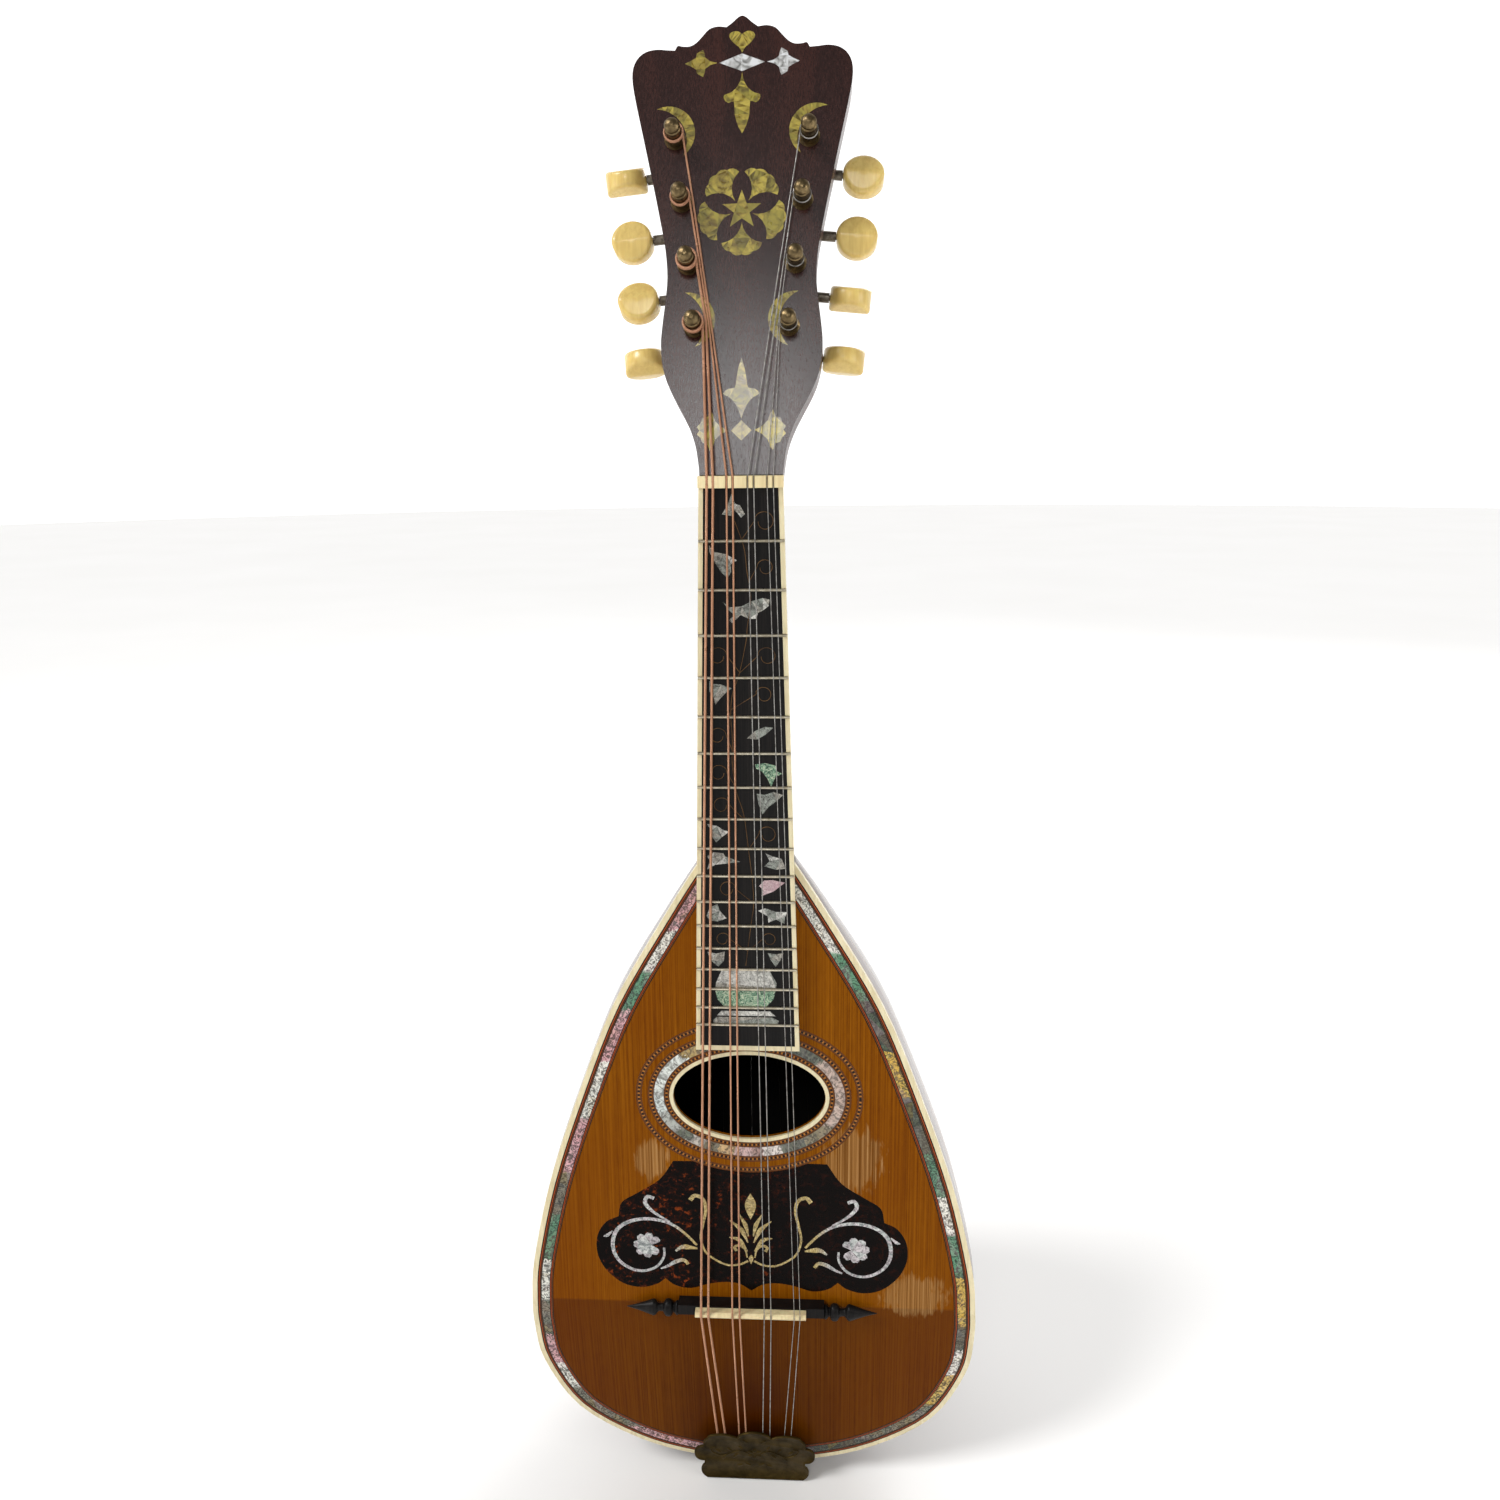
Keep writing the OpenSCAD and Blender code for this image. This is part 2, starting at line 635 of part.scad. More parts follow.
// frame of post k (1 beside the crest, 4 beside the nut), x along the plate
// towards the crest, y outwards on the left side, z out of the face
module post_frame(side, k) {
  mirror([side == "left" ? 0 : 1, 0, 0]) translate([-row_x, row_s, 0]) rotate(90 + row_lean)
    translate([post_pitch * (4 - k), 0, 0]) children();
}
module each_post() {
  for (side = ["left", "right"]) for (k = [1:4]) post_frame(side, k) children();
}

module plate_screw_place() {
  for (y = [-4.4, 4.4]) translate([6.2, y, 0]) children();
}

// plate with two ears for each worm
module tuner_plates() {
  color("darkgoldenrod") upright() head_frame() for (side = ["left", "right"])
    difference() {
      post_frame(side, 4) {
        translate([-12.6, -6.4, -head_t - plate_t]) cube([3 * post_pitch + 20.6, 12.8, plate_t - gap]);
        for (k = [0:3]) for (y = [-5.6, 4.2])
          translate([post_pitch * k - worm_c - 1.9, y, gear_w - 2.3])
            cube([3.8, 1.4, -gear_w + 2.3 - head_t - plate_t + 0.2]);
      }
      for (k = [1:4]) post_frame(side, k) {
        cylinder(r = post_r + gap, h = 60, center = true);
        translate([-worm_c, 0, gear_w]) rotate([90, 0, 0]) cylinder(r = 1.1, h = 30, center = true);
        plate_screw_place() translate([0, 0, -head_t - 3]) cylinder(r = 0.85, h = 5);
      }
    }
}

module tuner_screws() {
  color("darkgoldenrod") upright() head_frame() each_post() plate_screw_place() {
    translate([0, 0, -head_t - plate_t - 0.9]) difference() {
      cylinder(r1 = 1.1, r2 = 1.5, h = 0.85);
      translate([-2, -0.2, -0.1]) cube([4, 0.4, 0.45]);
    }
    translate([0, 0, -head_t - plate_t - 0.1]) cylinder(r = 0.75, h = 6);
  }
}

module post_bushings() {
  color("darkgoldenrod") upright() head_frame() each_post() difference() {
    translate([0, 0, -head_t]) cylinder(r = bush_r - gap, h = head_t);
    translate([0, 0, -head_t - 1]) cylinder(r = post_r + gap, h = head_t + 2);
  }
}

// brass post with a domed tip, its gear and the gear's screw
module post(side, k) {
  color("goldenrod") upright() head_frame() post_frame(side, k) {
    difference() {
      union() {
        translate([0, 0, gear_w - gear_t / 2 - 0.1]) cylinder(r = 1.9, h = gear_t + 0.2);
        translate([0, 0, gear_w + gear_t / 2]) cylinder(r = post_r, h = post_h - 3.4 - gear_w - gear_t / 2);
        translate([0, 0, post_h - 3.4]) rotate_extrude() polygon(concat(
          [[0, 0], [post_r, 0], [2.1, 0.4], [2.1, 0.9], [post_r, 1.3]],
          [for (a = [0:15:90]) [post_r * cos(a), 1.5 + 1.9 * sin(a)]]));
      }
      translate([0, 0, coil_z - 0.2]) rotate([90, 0, 0]) cylinder(r = 0.6, h = 10, center = true);
      translate([0, 0, gear_w - gear_t]) cylinder(r = 0.7, h = 4);
    }
    translate([0, 0, gear_w - gear_t / 2]) difference() {
      linear_extrude(gear_t - gap) gear_shape();
      translate([0, 0, -1]) cylinder(r = 1.9 + 0.02, h = 4);
    }
    translate([0, 0, gear_w - gear_t / 2 - 1.3]) difference() {
      cylinder(r = 2.6, h = 1.15);
      translate([-3, -0.25, -0.1]) cube([6, 0.5, 0.6]);
    }
  }
}

// spur gear with a gap of 1.2 mm on the pitch line, one gap facing the worm
module gear_shape() {
  half_gap = 0.62 / gear_r * 57.3;
  step = 360 / gear_teeth;
  polygon([for (k = [0:gear_teeth - 1]) each
    let (a = 180 + step * k)
    [
      (gear_r - tooth - 0.15) * [cos(a - half_gap * 0.72), sin(a - half_gap * 0.72)],
      (gear_r - tooth - 0.15) * [cos(a + half_gap * 0.72), sin(a + half_gap * 0.72)],
      (gear_r + tooth - 0.1) * [cos(a + half_gap * 1.35), sin(a + half_gap * 1.35)],
      (gear_r + tooth - 0.1) * [cos(a + step - half_gap * 1.35), sin(a + step - half_gap * 1.35)]
    ]]);
}

// steel worm on its shaft, lying along y
module worm(side, k) {
  color("slategray") upright() head_frame() post_frame(side, k) translate([-worm_c, 0, gear_w]) {
    rotate([90, 0, 0]) cylinder(r = 1.05, h = 11.7, center = true);
    rotate([-90, 0, 0]) cylinder(r = 1.05, h = knob_out - 3);
    translate([0, 6, 0]) rotate([-90, 0, 0]) cylinder(r = 1.8, h = knob_out - knob_r - 6.2);
    rotate([90, 0, 0]) cylinder(r = worm_r - tooth, h = 8, center = true);
    worm_thread(6, 12);
  }
}

// helical ridge whose crest crosses the gear side at y = 0
module worm_thread(length, n) {
  turns = length / worm_pitch;
  root = worm_r - tooth - 0.1;
  tip = worm_r + tooth - 0.1;
  loft([for (i = [0:turns * n])
    let (
      y = -length / 2 + length * i / (turns * n),
      a = 360 * y / worm_pitch,
      fade = min(1, min(i, turns * n - i) / 5),
      top = root + 0.12 + (tip - root - 0.12) * fade
    )
    [for (p = [[root, -0.5], [root, 0.5], [top, 0.15], [top, -0.15]])
      [p.x * cos(a), y + p.y, -p.x * sin(a)]]]);
}

// bone knob: a disc whose two faces slope away from a ridge along the shaft
module knob(side, k) {
  turn = knob_turns[side == "left" ? 0 : 1][k - 1];
  color("khaki") upright() head_frame() post_frame(side, k)
    translate([-worm_c, knob_out, gear_w]) rotate([0, turn, 0]) difference() {
      intersection() {
        cylinder(r = knob_r, h = 12, center = true);
        rotate([90, 0, 0]) linear_extrude(20, center = true)
          polygon([[-8, 2.3], [0, 4.5], [8, 2.3], [8, -2.3], [0, -4.5], [-8, -2.3]]);
      }
      translate([0, -knob_r - 1, 0]) rotate([-90, 0, 0]) cylinder(r = 1.05 + gap, h = 6.2);
    }
}

// ---- fingerboard -----------------------------------------------------------

bind_w = 1.7;
end_bind = 2;
inlay_depth = 0.8;

function fret_y(n) = -scale_len * (1 - pow(2, -n / 12));

module board_shape(in, from, to) {
  polygon([[-board_half(from) + in, from], [board_half(from) - in, from],
    [board_half(to) - in, to], [-board_half(to) + in, to]]);
}

module fingerboard() {
  color("black") upright() difference() {
    translate([0, 0, gap]) linear_extrude(board_t - gap)
      board_shape(bind_w + gap, -gap, -board_len + end_bind + gap);
    for (n = [1:fret_count]) translate([-30, fret_y(n) - 0.3, board_t - 1.6]) cube([60, 0.6, 2]);
    translate([0, 0, board_t - inlay_depth]) linear_extrude(2) board_figures();
  }
}

module fingerboard_binding() {
  color("ivory") upright() translate([0, 0, gap]) difference() {
    linear_extrude(board_t - gap) difference() {
      board_shape(0, -gap, -board_len);
      board_shape(bind_w, 1, -board_len + end_bind);
    }
    for (n = [1:fret_count])
      translate([-30, fret_y(n) - 0.3, board_t - gap - 1.6]) cube([60, 0.6, 2]);
  }
}

module frets() {
  color("silver") upright() for (n = [1:fret_count])
    translate([0, fret_y(n), board_t + 0.01]) rotate([90, 0, 90])
      linear_extrude(2 * board_half(fret_y(n)) - 0.3, center = true)
        polygon([[-0.27, -1.5], [0.27, -1.5], [0.27, 0], [0.6, 0], [0.52, 0.45], [0.25, 0.75],
          [-0.25, 0.75], [-0.52, 0.45], [-0.6, 0], [-0.27, 0]]);
}

module nut() {
  nut_top = 6.4;
  color("ivory") upright() difference() {
    translate([-15.2, gap, gap]) cube([30.4, 4.2, nut_top]);
    for (x = nut_x) translate([x - 0.45, -1, string_nut_z - 0.45]) cube([0.9, 7, 2]);
  }
}

// outlines of the leaves, flowers and birds on the vine, from the nut downwards
figures = [
  [[-3.3, -1.9], [-4.6, -5.7], [-6.8, -9.1], [-3.4, -9.7], [-2.8, -7.3], [-1.3, -8.6], [0, -10.3],
    [1.4, -9.1], [-0.3, -6], [-2.1, -5.4]],
  [[-11.6, -19.9], [-9.9, -22.3], [-5.5, -23.2], [-1.6, -25.4], [-3.8, -26.7], [-3.8, -29.5],
    [-5.1, -31.7], [-7.5, -29.4], [-9.4, -26.4], [-11.5, -22.3]],
  [[-7, -40.2], [-4.5, -42.2], [-0.3, -41.9], [3.6, -40], [7.5, -38.9], [10, -39.5], [9.7, -41.7],
    [7.5, -43.4], [5.7, -44.2], [5.2, -46.4], [2.4, -46.4], [-0.6, -45], [-3.7, -48],
    [-4.8, -46.9], [-2.8, -45], [-4.8, -43.3]],
  [[-12.4, -69.2], [-10.9, -70.3], [-8.1, -70.6], [-4.2, -72], [-6.2, -73.5], [-8.2, -75.5],
    [-10.3, -78.1], [-10.9, -75.5], [-12.4, -73.2]],
  [[1.2, -90.9], [4.3, -88], [7.9, -86.5], [10.9, -86.8], [8.3, -89.3], [5, -91.3]],
  [[4.1, -100.9], [7.7, -100.3], [11.8, -101.3], [12.1, -103.4], [14.2, -104.4], [11.7, -105.5],
    [10, -109.5], [8.7, -106.3], [6.5, -103.4], [4.5, -102.5]],
  [[4.6, -112.2], [7.6, -112.6], [10.8, -111.5], [14.5, -112.6], [12, -115.1], [9.1, -117.2],
    [6.7, -120.2], [5.3, -116.4]],
  [[-14.3, -124.1], [-10.6, -124.9], [-7.8, -126.7], [-5.7, -127.1], [-8.7, -129.2],
    [-11, -131.4], [-12.4, -129.2], [-12.7, -126.7]],
  [[-14.6, -137], [-12.1, -135.3], [-8.4, -135.7], [-7.6, -137], [-1.8, -139.1], [-7.2, -139.8],
    [-11.4, -140.3], [-14.6, -142.2], [-13.4, -138.7]],
  [[7.7, -135.6], [10.6, -136.9], [13.8, -137.8], [15.4, -141.7], [11.7, -142.1], [7.2, -140.8],
    [9.3, -138.7]],
  [[5.2, -148.7], [7.1, -146.5], [10.5, -146.3], [15, -147.3], [10.8, -150.8], [6, -152.8],
    [6.7, -150.4]],
  [[-15.2, -161.1], [-13.8, -157.6], [-10.9, -156.2], [-10.1, -158.9], [-7.5, -162],
    [-11, -163.3], [-14, -162.9]],
  [[4.7, -158.8], [7.4, -157.7], [11.6, -159.2], [15.9, -159.2], [14.9, -161.4], [14.8, -164],
    [11.5, -162.3], [8.6, -163.6], [8.4, -161]],
  [[-15.1, -175.9], [-11.7, -176.6], [-8.4, -175.7], [-8.8, -179.5], [-11, -182], [-13.9, -179.5]],
  [[8.2, -176.1], [11.4, -176.6], [14.3, -176.1], [13, -179.3], [11.3, -181.8], [9.3, -178.8]],
  // vase: grey upper half, green lower half, foot and base
  [[-9.8, -183.7], [9, -183.7], [11.6, -188.6], [11.2, -191.8], [-12.4, -191.8], [-12, -188.6]],
  [[-12.4, -192.1], [11.2, -192.1], [10.2, -195.7], [7.6, -198.5], [-9.2, -198.5], [-11.5, -195.8]],
  [[-10.1, -200.6], [9, -200.6], [11.1, -202.6], [-11.9, -202.6]],
  [[-13.4, -204.6], [-11.9, -203.2], [9.8, -203.2], [12.4, -204.6], [11.9, -206], [-13.2, -206]]
];

module board_figures() {
  difference() {
    intersection() {
      for (f = figures) polygon(f);
      board_shape(bind_w + 1, 0, -board_len + end_bind + 1);
    }
    for (n = [1:fret_count]) translate([-30, fret_y(n) - 0.35]) square([60, 0.7]);
  }
}

// ---- bridge ----------------------------------------------------------------

bridge_y = -337.4;
beam_t = 7.2;
beam_h = 6.2;
saddle_half = 23;

// floating bridge: plain beam, a turned bead and an arrow at each end
module bridge() {
  color("black") upright() translate([0, bridge_y, 0.02]) difference() {
    union() {
      translate([-beam_half, -beam_t / 2, 0]) cube([2 * beam_half, beam_t, beam_h]);
      twin() {
        translate([beam_half, -1.7, 0.4]) cube([3.6, 3.4, 4]);
        translate([beam_half + 2.9, -3.4, 0]) cube([4, 6.8, 5.8]);
        translate([beam_half + 6.8, -1.6, 0.4]) cube([3.4, 3.2, 4]);
        translate([beam_half + 9.9, 0, 0]) linear_extrude(4.6)
          polygon([[0, -3.5], [1.2, -3.9], [12.2, 0], [1.2, 3.9], [0, 3.5]]);
      }
    }
    translate([-saddle_half - gap, beam_t / 2 - 3.3, beam_h - 2.5]) cube([2 * saddle_half + 0.1, 2.6, 4]);
    translate([-22, -beam_t, -1]) cube([44, 2 * beam_t, 2.2]);
  }
}

module saddle() {
  color("ivory") upright() difference() {
    translate([-saddle_half, bridge_y + beam_t / 2 - 3.25, beam_h - 2.45]) rotate([90, 0, 90])
      linear_extrude(2 * saddle_half)
        polygon([[0, 0], [2.5, 0], [2.5, saddle_h - beam_h + 1.6], [1.8, saddle_h - beam_h + 2.4],
          [0.8, saddle_h - beam_h + 2.4], [0, saddle_h - beam_h + 1.8]]);
    for (x = saddle_x) translate([x - 0.5, bridge_y - 5, saddle_h - 0.5]) cube([1, 12, 2]);
  }
}
saddle_crest_y = bridge_y + beam_t / 2 - 1.9;

// ---- tailpiece -------------------------------------------------------------

tail_end = edge[edge_last].y;
hook_y = -421;
tail_t = 0.8;             // thickness of the plate behind the body's end
tail_face = tail_end - 3.4;

module tailpiece() {
  width = 40;
  color("dimgray") upright() folded() {
    difference() {
      union() {
        translate([-width / 2, tail_face, 0.06]) cube([width, 17.5, 1]);
        translate([-width / 2, tail_face, -16]) cube([width, tail_t, 16.5]);
      }
      for (x = [-14, 0, 14]) translate([x, tail_face - 3, -12.6]) rotate([-90, 0, 0])
        cylinder(r = 1.15, h = 6);
    }
    for (x = tail_x) translate([x, hook_y, 0.5]) {
      cylinder(r = 0.7, h = 3.2);
      translate([-0.7, -1.4, 2.6]) cube([1.4, 1.4, 0.6]);
    }
  }
}

module tailpiece_screws() {
  color("dimgray") upright() folded() for (x = [-14, 0, 14])
    translate([x, tail_face - 0.03, -12.6]) rotate([90, 0, 0]) difference() {
      union() {
        cylinder(r1 = 2.1, r2 = 1.5, h = 0.6);
        translate([0, 0, -tail_t]) cylinder(r = 1.1, h = tail_t + 0.1);
      }
      translate([-3, -0.2, 0.3]) cube([6, 0.4, 1]);
    }
}

cover_rise = 5;
cover_t = 0.9;
cover_end = tail_face - 0.35 - cover_t;

// cloud outline of the cover, right half, from its top edge down
cover_half = concat(
  arc([0, -406.2], [6.6, -408.2], 0.5),
  arc([7.6, -409.8], [20.4, -409.4], 1.6),
  arc([20.8, -410.6], [22.6, -415.4], 0.8),
  arc([22.6, -415.4], [26.6, -420.6], 1.6),
  arc([26.6, -420.6], [22.4, -424.4], 1.4),
  arc([22.4, -426.4], [21.4, cover_end], 2.1)
);

// pressed cover: a flat cloud over the hooks and a lip down the body's end
module tailpiece_cover() {
  lip = 9;
  color("darkolivegreen") upright() folded() {
    translate([0, 0, cover_rise]) linear_extrude(cover_t) polygon(both_sides(cover_half));
    translate([-21.4, cover_end, -lip]) cube([42.8, cover_t, cover_rise + lip + 0.3]);
  }
}

// ---- strings ---------------------------------------------------------------

nut_x = [-11.9, -9.7, -4.9, -2.7, 2.5, 4.7, 9.4, 11.6];
saddle_x = [-20.4, -17.4, -7.4, -4.4, 5.8, 8.6, 18.2, 20.6];
tail_x = [-15.8, -12.4, -6.6, -3.6, 3.4, 6.6, 12.6, 15.6];
string_r = [0.5, 0.5, 0.37, 0.37, 0.2, 0.2, 0.16, 0.16];
string_post = [["left", 4], ["left", 3], ["left", 2], ["left", 1],
  ["right", 1], ["right", 2], ["right", 3], ["right", 4]];
string_nut_z = 6.1;
coil_z = 4.2;             // height of the lowest turn on the post
coil_turns = 2.25;

// rotation helpers for points
function turn_x(p, a) = [p.x, p.y * cos(a) - p.z * sin(a), p.y * sin(a) + p.z * cos(a)];
function turn_z(p, a) = [p.x * cos(a) - p.y * sin(a), p.x * sin(a) + p.y * cos(a), p.z];
function fold_pt(p) = turn_x(p - [0, fold_y, 0], fold_angle) + [0, fold_y, 0];
function head_pt(p) = turn_x(p, -head_tilt) + head_foot;

// post place and coil points in the head's frame; the string meets the post on
// the side facing the centre line and winds upwards
function post_pt(side, k) =
  let (p = turn_z([post_pitch * (4 - k), 0, 0], 90 + row_lean) + [-row_x, row_s, 0])
  side == "left" ? p : [-p.x, p.y, p.z];
function coil(side, k, r) =
  let (c = post_pt(side, k), flip = side == "left" ? 1 : -1, reach = post_r + r + 0.12, n = 12)
  [for (i = [0:coil_turns * n])
    let (a = -12 + 360 * i / n)
    head_pt([c.x + flip * reach * cos(a), c.y + reach * sin(a),
      coil_z + (2 * r + 0.05) * i / n])];

// how far from the centre line a string to post k may run where it passes post
// j: it lies against the coil there, or against the next string
function lane(k, j, radii) =
  let (c = post_pt("right", j).x)
  k == j ? c - post_r - radii[k] - 0.12
    : lane(k + 1, j, radii) - radii[k + 1] - radii[k] - 0.08;

// points of a string beside the posts that it passes on the way to its own
function passing(i, side, k) =
  let (
    radii = side == "left" ? [0, string_r[3], string_r[2], string_r[1], string_r[0]]
      : [0, string_r[4], string_r[5], string_r[6], string_r[7]],
    flip = side == "left" ? -1 : 1,
    from = abs(nut_x[i]),
    to = lane(k, k, radii),
    goal = post_pt("right", k).y
  )
  [for (j = [4:-1:k + 1]) if (k < 4)
    let (y = post_pt("right", j).y, straight = from + (to - from) * y / goal)
    head_pt([flip * min(straight, lane(k, j, radii)), y, coil_z - 0.3 + 0.2 * y / goal])];

function string_path(i) = concat(
  [fold_pt([tail_x[i], hook_y + 0.7 + string_r[i] + 0.05, 2.6]),
   [saddle_x[i], saddle_crest_y, saddle_h + string_r[i] - 0.3],
   [nut_x[i], 1.2, string_nut_z + string_r[i] - 0.42],
   [nut_x[i], 4, string_nut_z + string_r[i] - 0.45]],
  passing(i, string_post[i][0], string_post[i][1]),
  coil(string_post[i][0], string_post[i][1], string_r[i])
);

function unit(v) = v / norm(v);

// tube of radius r with m sides along a path
module sweep(path, r, m = 6) {
  last = len(path) - 1;
  loft([for (i = [0:last])
    let (
      t = unit(path[min(i + 1, last)] - path[max(i - 1, 0)]),
      u = unit(cross(t, abs(t.z) > 0.9 ? [1, 0, 0] : [0, 0, 1])),
      v = cross(u, t)
    )
    [for (k = [0:m - 1]) path[i] + r * (u * cos(360 * k / m) + v * sin(360 * k / m))]]);
}

module course(pair, tint) {
  color(tint) upright() for (i = pair) sweep(string_path(i), string_r[i]);
}

module strings_g() { course([0, 1], "darksalmon"); }
module strings_d() { course([2, 3], "darksalmon"); }
module strings_a() { course([4, 5], "silver"); }
module strings_e() { course([6, 7], "silver"); }

module fingerboard_inlays() {
  color("lightgray") upright() translate([0, 0, board_t - inlay_depth])
    linear_extrude(inlay_depth) board_figures();
}

// ---- nodes -----------------------------------------------------------------

soundboard();
bowl_ribs();
bowl_clasp();
neck_block();
tail_block();
rim_linings();
soundboard_braces();
neck();
headstock();
headstock_veneer();
fingerboard();
fingerboard_binding();
frets();
nut();
fingerboard_inlays();
headstock_inlays();
rosette_pearl();
rosette_rings();
soundhole_binding();
body_binding();
edge_pearl();
edge_purfling();
pickguard();
pickguard_inlays();
bridge();
saddle();
tuner_plates();
tuner_screws();
post_bushings();
tailpiece();
tailpiece_screws();
tailpiece_cover();
strings_g();
strings_d();
strings_a();
strings_e();
for (side = ["left", "right"]) for (k = [1:4]) {
  knob(side, k);
  worm(side, k);
  post(side, k);
}
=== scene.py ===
"""Looks of a bowl-back mandolin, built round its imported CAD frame.

Shapes that CAD lays out lying flat (x right, y up the neck, z out of the
soundboard, in millimetres) are repeated here in the same way and stood upright
by row().
"""
import math

import bpy
import bmesh
from mathutils import Matrix, Vector


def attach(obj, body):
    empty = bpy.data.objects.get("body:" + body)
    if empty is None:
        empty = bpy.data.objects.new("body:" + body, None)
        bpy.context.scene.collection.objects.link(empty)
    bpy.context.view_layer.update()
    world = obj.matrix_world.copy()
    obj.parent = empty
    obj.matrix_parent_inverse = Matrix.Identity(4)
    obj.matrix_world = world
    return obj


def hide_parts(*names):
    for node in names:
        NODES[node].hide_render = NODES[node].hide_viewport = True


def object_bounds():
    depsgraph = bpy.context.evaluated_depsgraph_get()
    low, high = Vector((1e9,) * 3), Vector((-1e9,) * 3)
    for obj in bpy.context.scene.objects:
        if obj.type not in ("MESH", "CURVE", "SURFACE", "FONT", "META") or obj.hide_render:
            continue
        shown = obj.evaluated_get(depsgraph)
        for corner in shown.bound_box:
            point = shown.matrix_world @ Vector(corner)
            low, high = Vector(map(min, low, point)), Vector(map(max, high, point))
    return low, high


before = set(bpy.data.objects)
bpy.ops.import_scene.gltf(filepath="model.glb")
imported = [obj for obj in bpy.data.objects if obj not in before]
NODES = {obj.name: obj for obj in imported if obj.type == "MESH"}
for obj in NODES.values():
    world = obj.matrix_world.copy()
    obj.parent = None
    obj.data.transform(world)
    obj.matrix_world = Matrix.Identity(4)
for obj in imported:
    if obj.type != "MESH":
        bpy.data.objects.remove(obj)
CAD_BOX = [list(corner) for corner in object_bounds()]
MM = 0.001


# ---- places shared with the CAD ---------------------------------------------

FOLD_Y, FOLD_ANGLE = -337.0, math.radians(9)
HEAD_FOOT, HEAD_TILT = Vector((0, 4.5, 1)), math.radians(13)
HEAD_T = 11.0
ROW_X, ROW_S, ROW_LEAN, POST_PITCH = 16.8, 52.6, math.radians(6), 22.3
POST_R = 2.8
GEAR_TEETH, WORM_PITCH, WORM_R = 14, 2, 1.95
WORM_C = GEAR_TEETH * WORM_PITCH / (2 * math.pi) + WORM_R
PLATE_T, WORM_DROP = 1.2, 2.75
GEAR_W = -HEAD_T - PLATE_T - WORM_DROP
KNOB_OUT, KNOB_R = 20.4, 7.5
KNOB_TURNS = {"left": (80, 0, 12, 100), "right": (8, 0, 84, 96)}
HOLE_A, HOLE_B, HOLE_Y = 30.8, 18.7, -240.7
RIM_ANGLE, BOWL_RATIO, RIM_DROP, RIB_COUNT, RIB_T = 8.0, 1.25, 2.7, 21, 1.6
TAIL_END = -430.4
TAIL_FACE = TAIL_END - 3.4
COVER_RISE, COVER_T = 5.0, 0.9
COVER_END = TAIL_FACE - 0.35 - COVER_T
BOARD_T = 5.0
BOARD_W_NUT, BOARD_W_END, BOARD_LEN = 30.1, 40.9, 217.5
INLAY_T = 1.2
ROPE_RINGS = ((1.6, 3.85), (7.95, 10.4), (12.8, 15.2))
OUTER_LINE, INNER_LINE = (2.15, 3.85), (7.35, 8.8)
BRIDGE_Y, BEAM_HALF, BEAM_T, BEAM_H = -337.4, 30.5, 7.2, 6.2
HOOK_Y, SADDLE_H, NUT_H = -421, 10, 6.1


def row(p):
    """Flat millimetres to the row frame in metres."""
    return Vector((p[0], -p[2], p[1])) * MM


def fold(p):
    """Moves a point of the lower soundboard to its folded place."""
    y, z = p[1] - FOLD_Y, p[2]
    c, s = math.cos(FOLD_ANGLE), math.sin(FOLD_ANGLE)
    return Vector((p[0], FOLD_Y + y * c - z * s, y * s + z * c))


def head(p):
    """A point of the headstock's own frame."""
    c, s = math.cos(HEAD_TILT), math.sin(HEAD_TILT)
    return Vector((p[0], p[1] * c + p[2] * s, -p[1] * s + p[2] * c)) + HEAD_FOOT


def post_frame(side, k, p):
    """A point of the frame of post k: x along the plate, y outwards, z out of the face."""
    a = math.pi / 2 + ROW_LEAN
    x, y = p[0] + POST_PITCH * (4 - k), p[1]
    x, y = -ROW_X + x * math.cos(a) - y * math.sin(a), ROW_S + x * math.sin(a) + y * math.cos(a)
    return head((x if side == "left" else -x, y, p[2]))


def smooth(pts, n, before=None, after=None):
    """Catmull-Rom curve through pts with n steps a span."""
    pts = [Vector(p) for p in pts]
    ends = [Vector(before) if before else 2 * pts[0] - pts[1]] + pts
    ends.append(Vector(after) if after else 2 * pts[-1] - pts[-2])
    out = []
    for a, b, c, d in zip(ends, ends[1:], ends[2:], ends[3:]):
        for k in range(n):
            t = k / n
            out.append(0.5 * (2 * b + (c - a) * t + (2 * a - 5 * b + 4 * c - d) * t * t
                              + (3 * b - a - 3 * c + d) * t ** 3))
    return out + [pts[-1]]


EDGE_POINTS = [
    (18.6, -141.5), (32, -163), (53.4, -200.5), (69.2, -240), (82.9, -280.5), (91.6, -318),
    (93.4, FOLD_Y), (93.7, -352), (91, -373), (77.6, -400), (53, -418.5), (27.5, -427.6),
    (0, TAIL_END),
]
EDGE_STEPS = 8
EDGE = smooth(EDGE_POINTS, EDGE_STEPS, (8, -126), (-27.5, -427.6))
EDGE_LAST, EDGE_FOLD = len(EDGE) - 1, 6 * EDGE_STEPS


def edge_in(i):
    if i == EDGE_FOLD:
        return Vector((-1, 0))
    if i == EDGE_LAST:
        return Vector((0, 1))
    d = (EDGE[min(i + 1, EDGE_LAST)] - EDGE[max(i - 1, 0)]).normalized()
    return Vector((d.y, -d.x))


def board_pt(p, z, lower):
    return fold((p[0], p[1], z)) if lower else Vector((p[0], p[1], z))


# ---- meshes -----------------------------------------------------------------

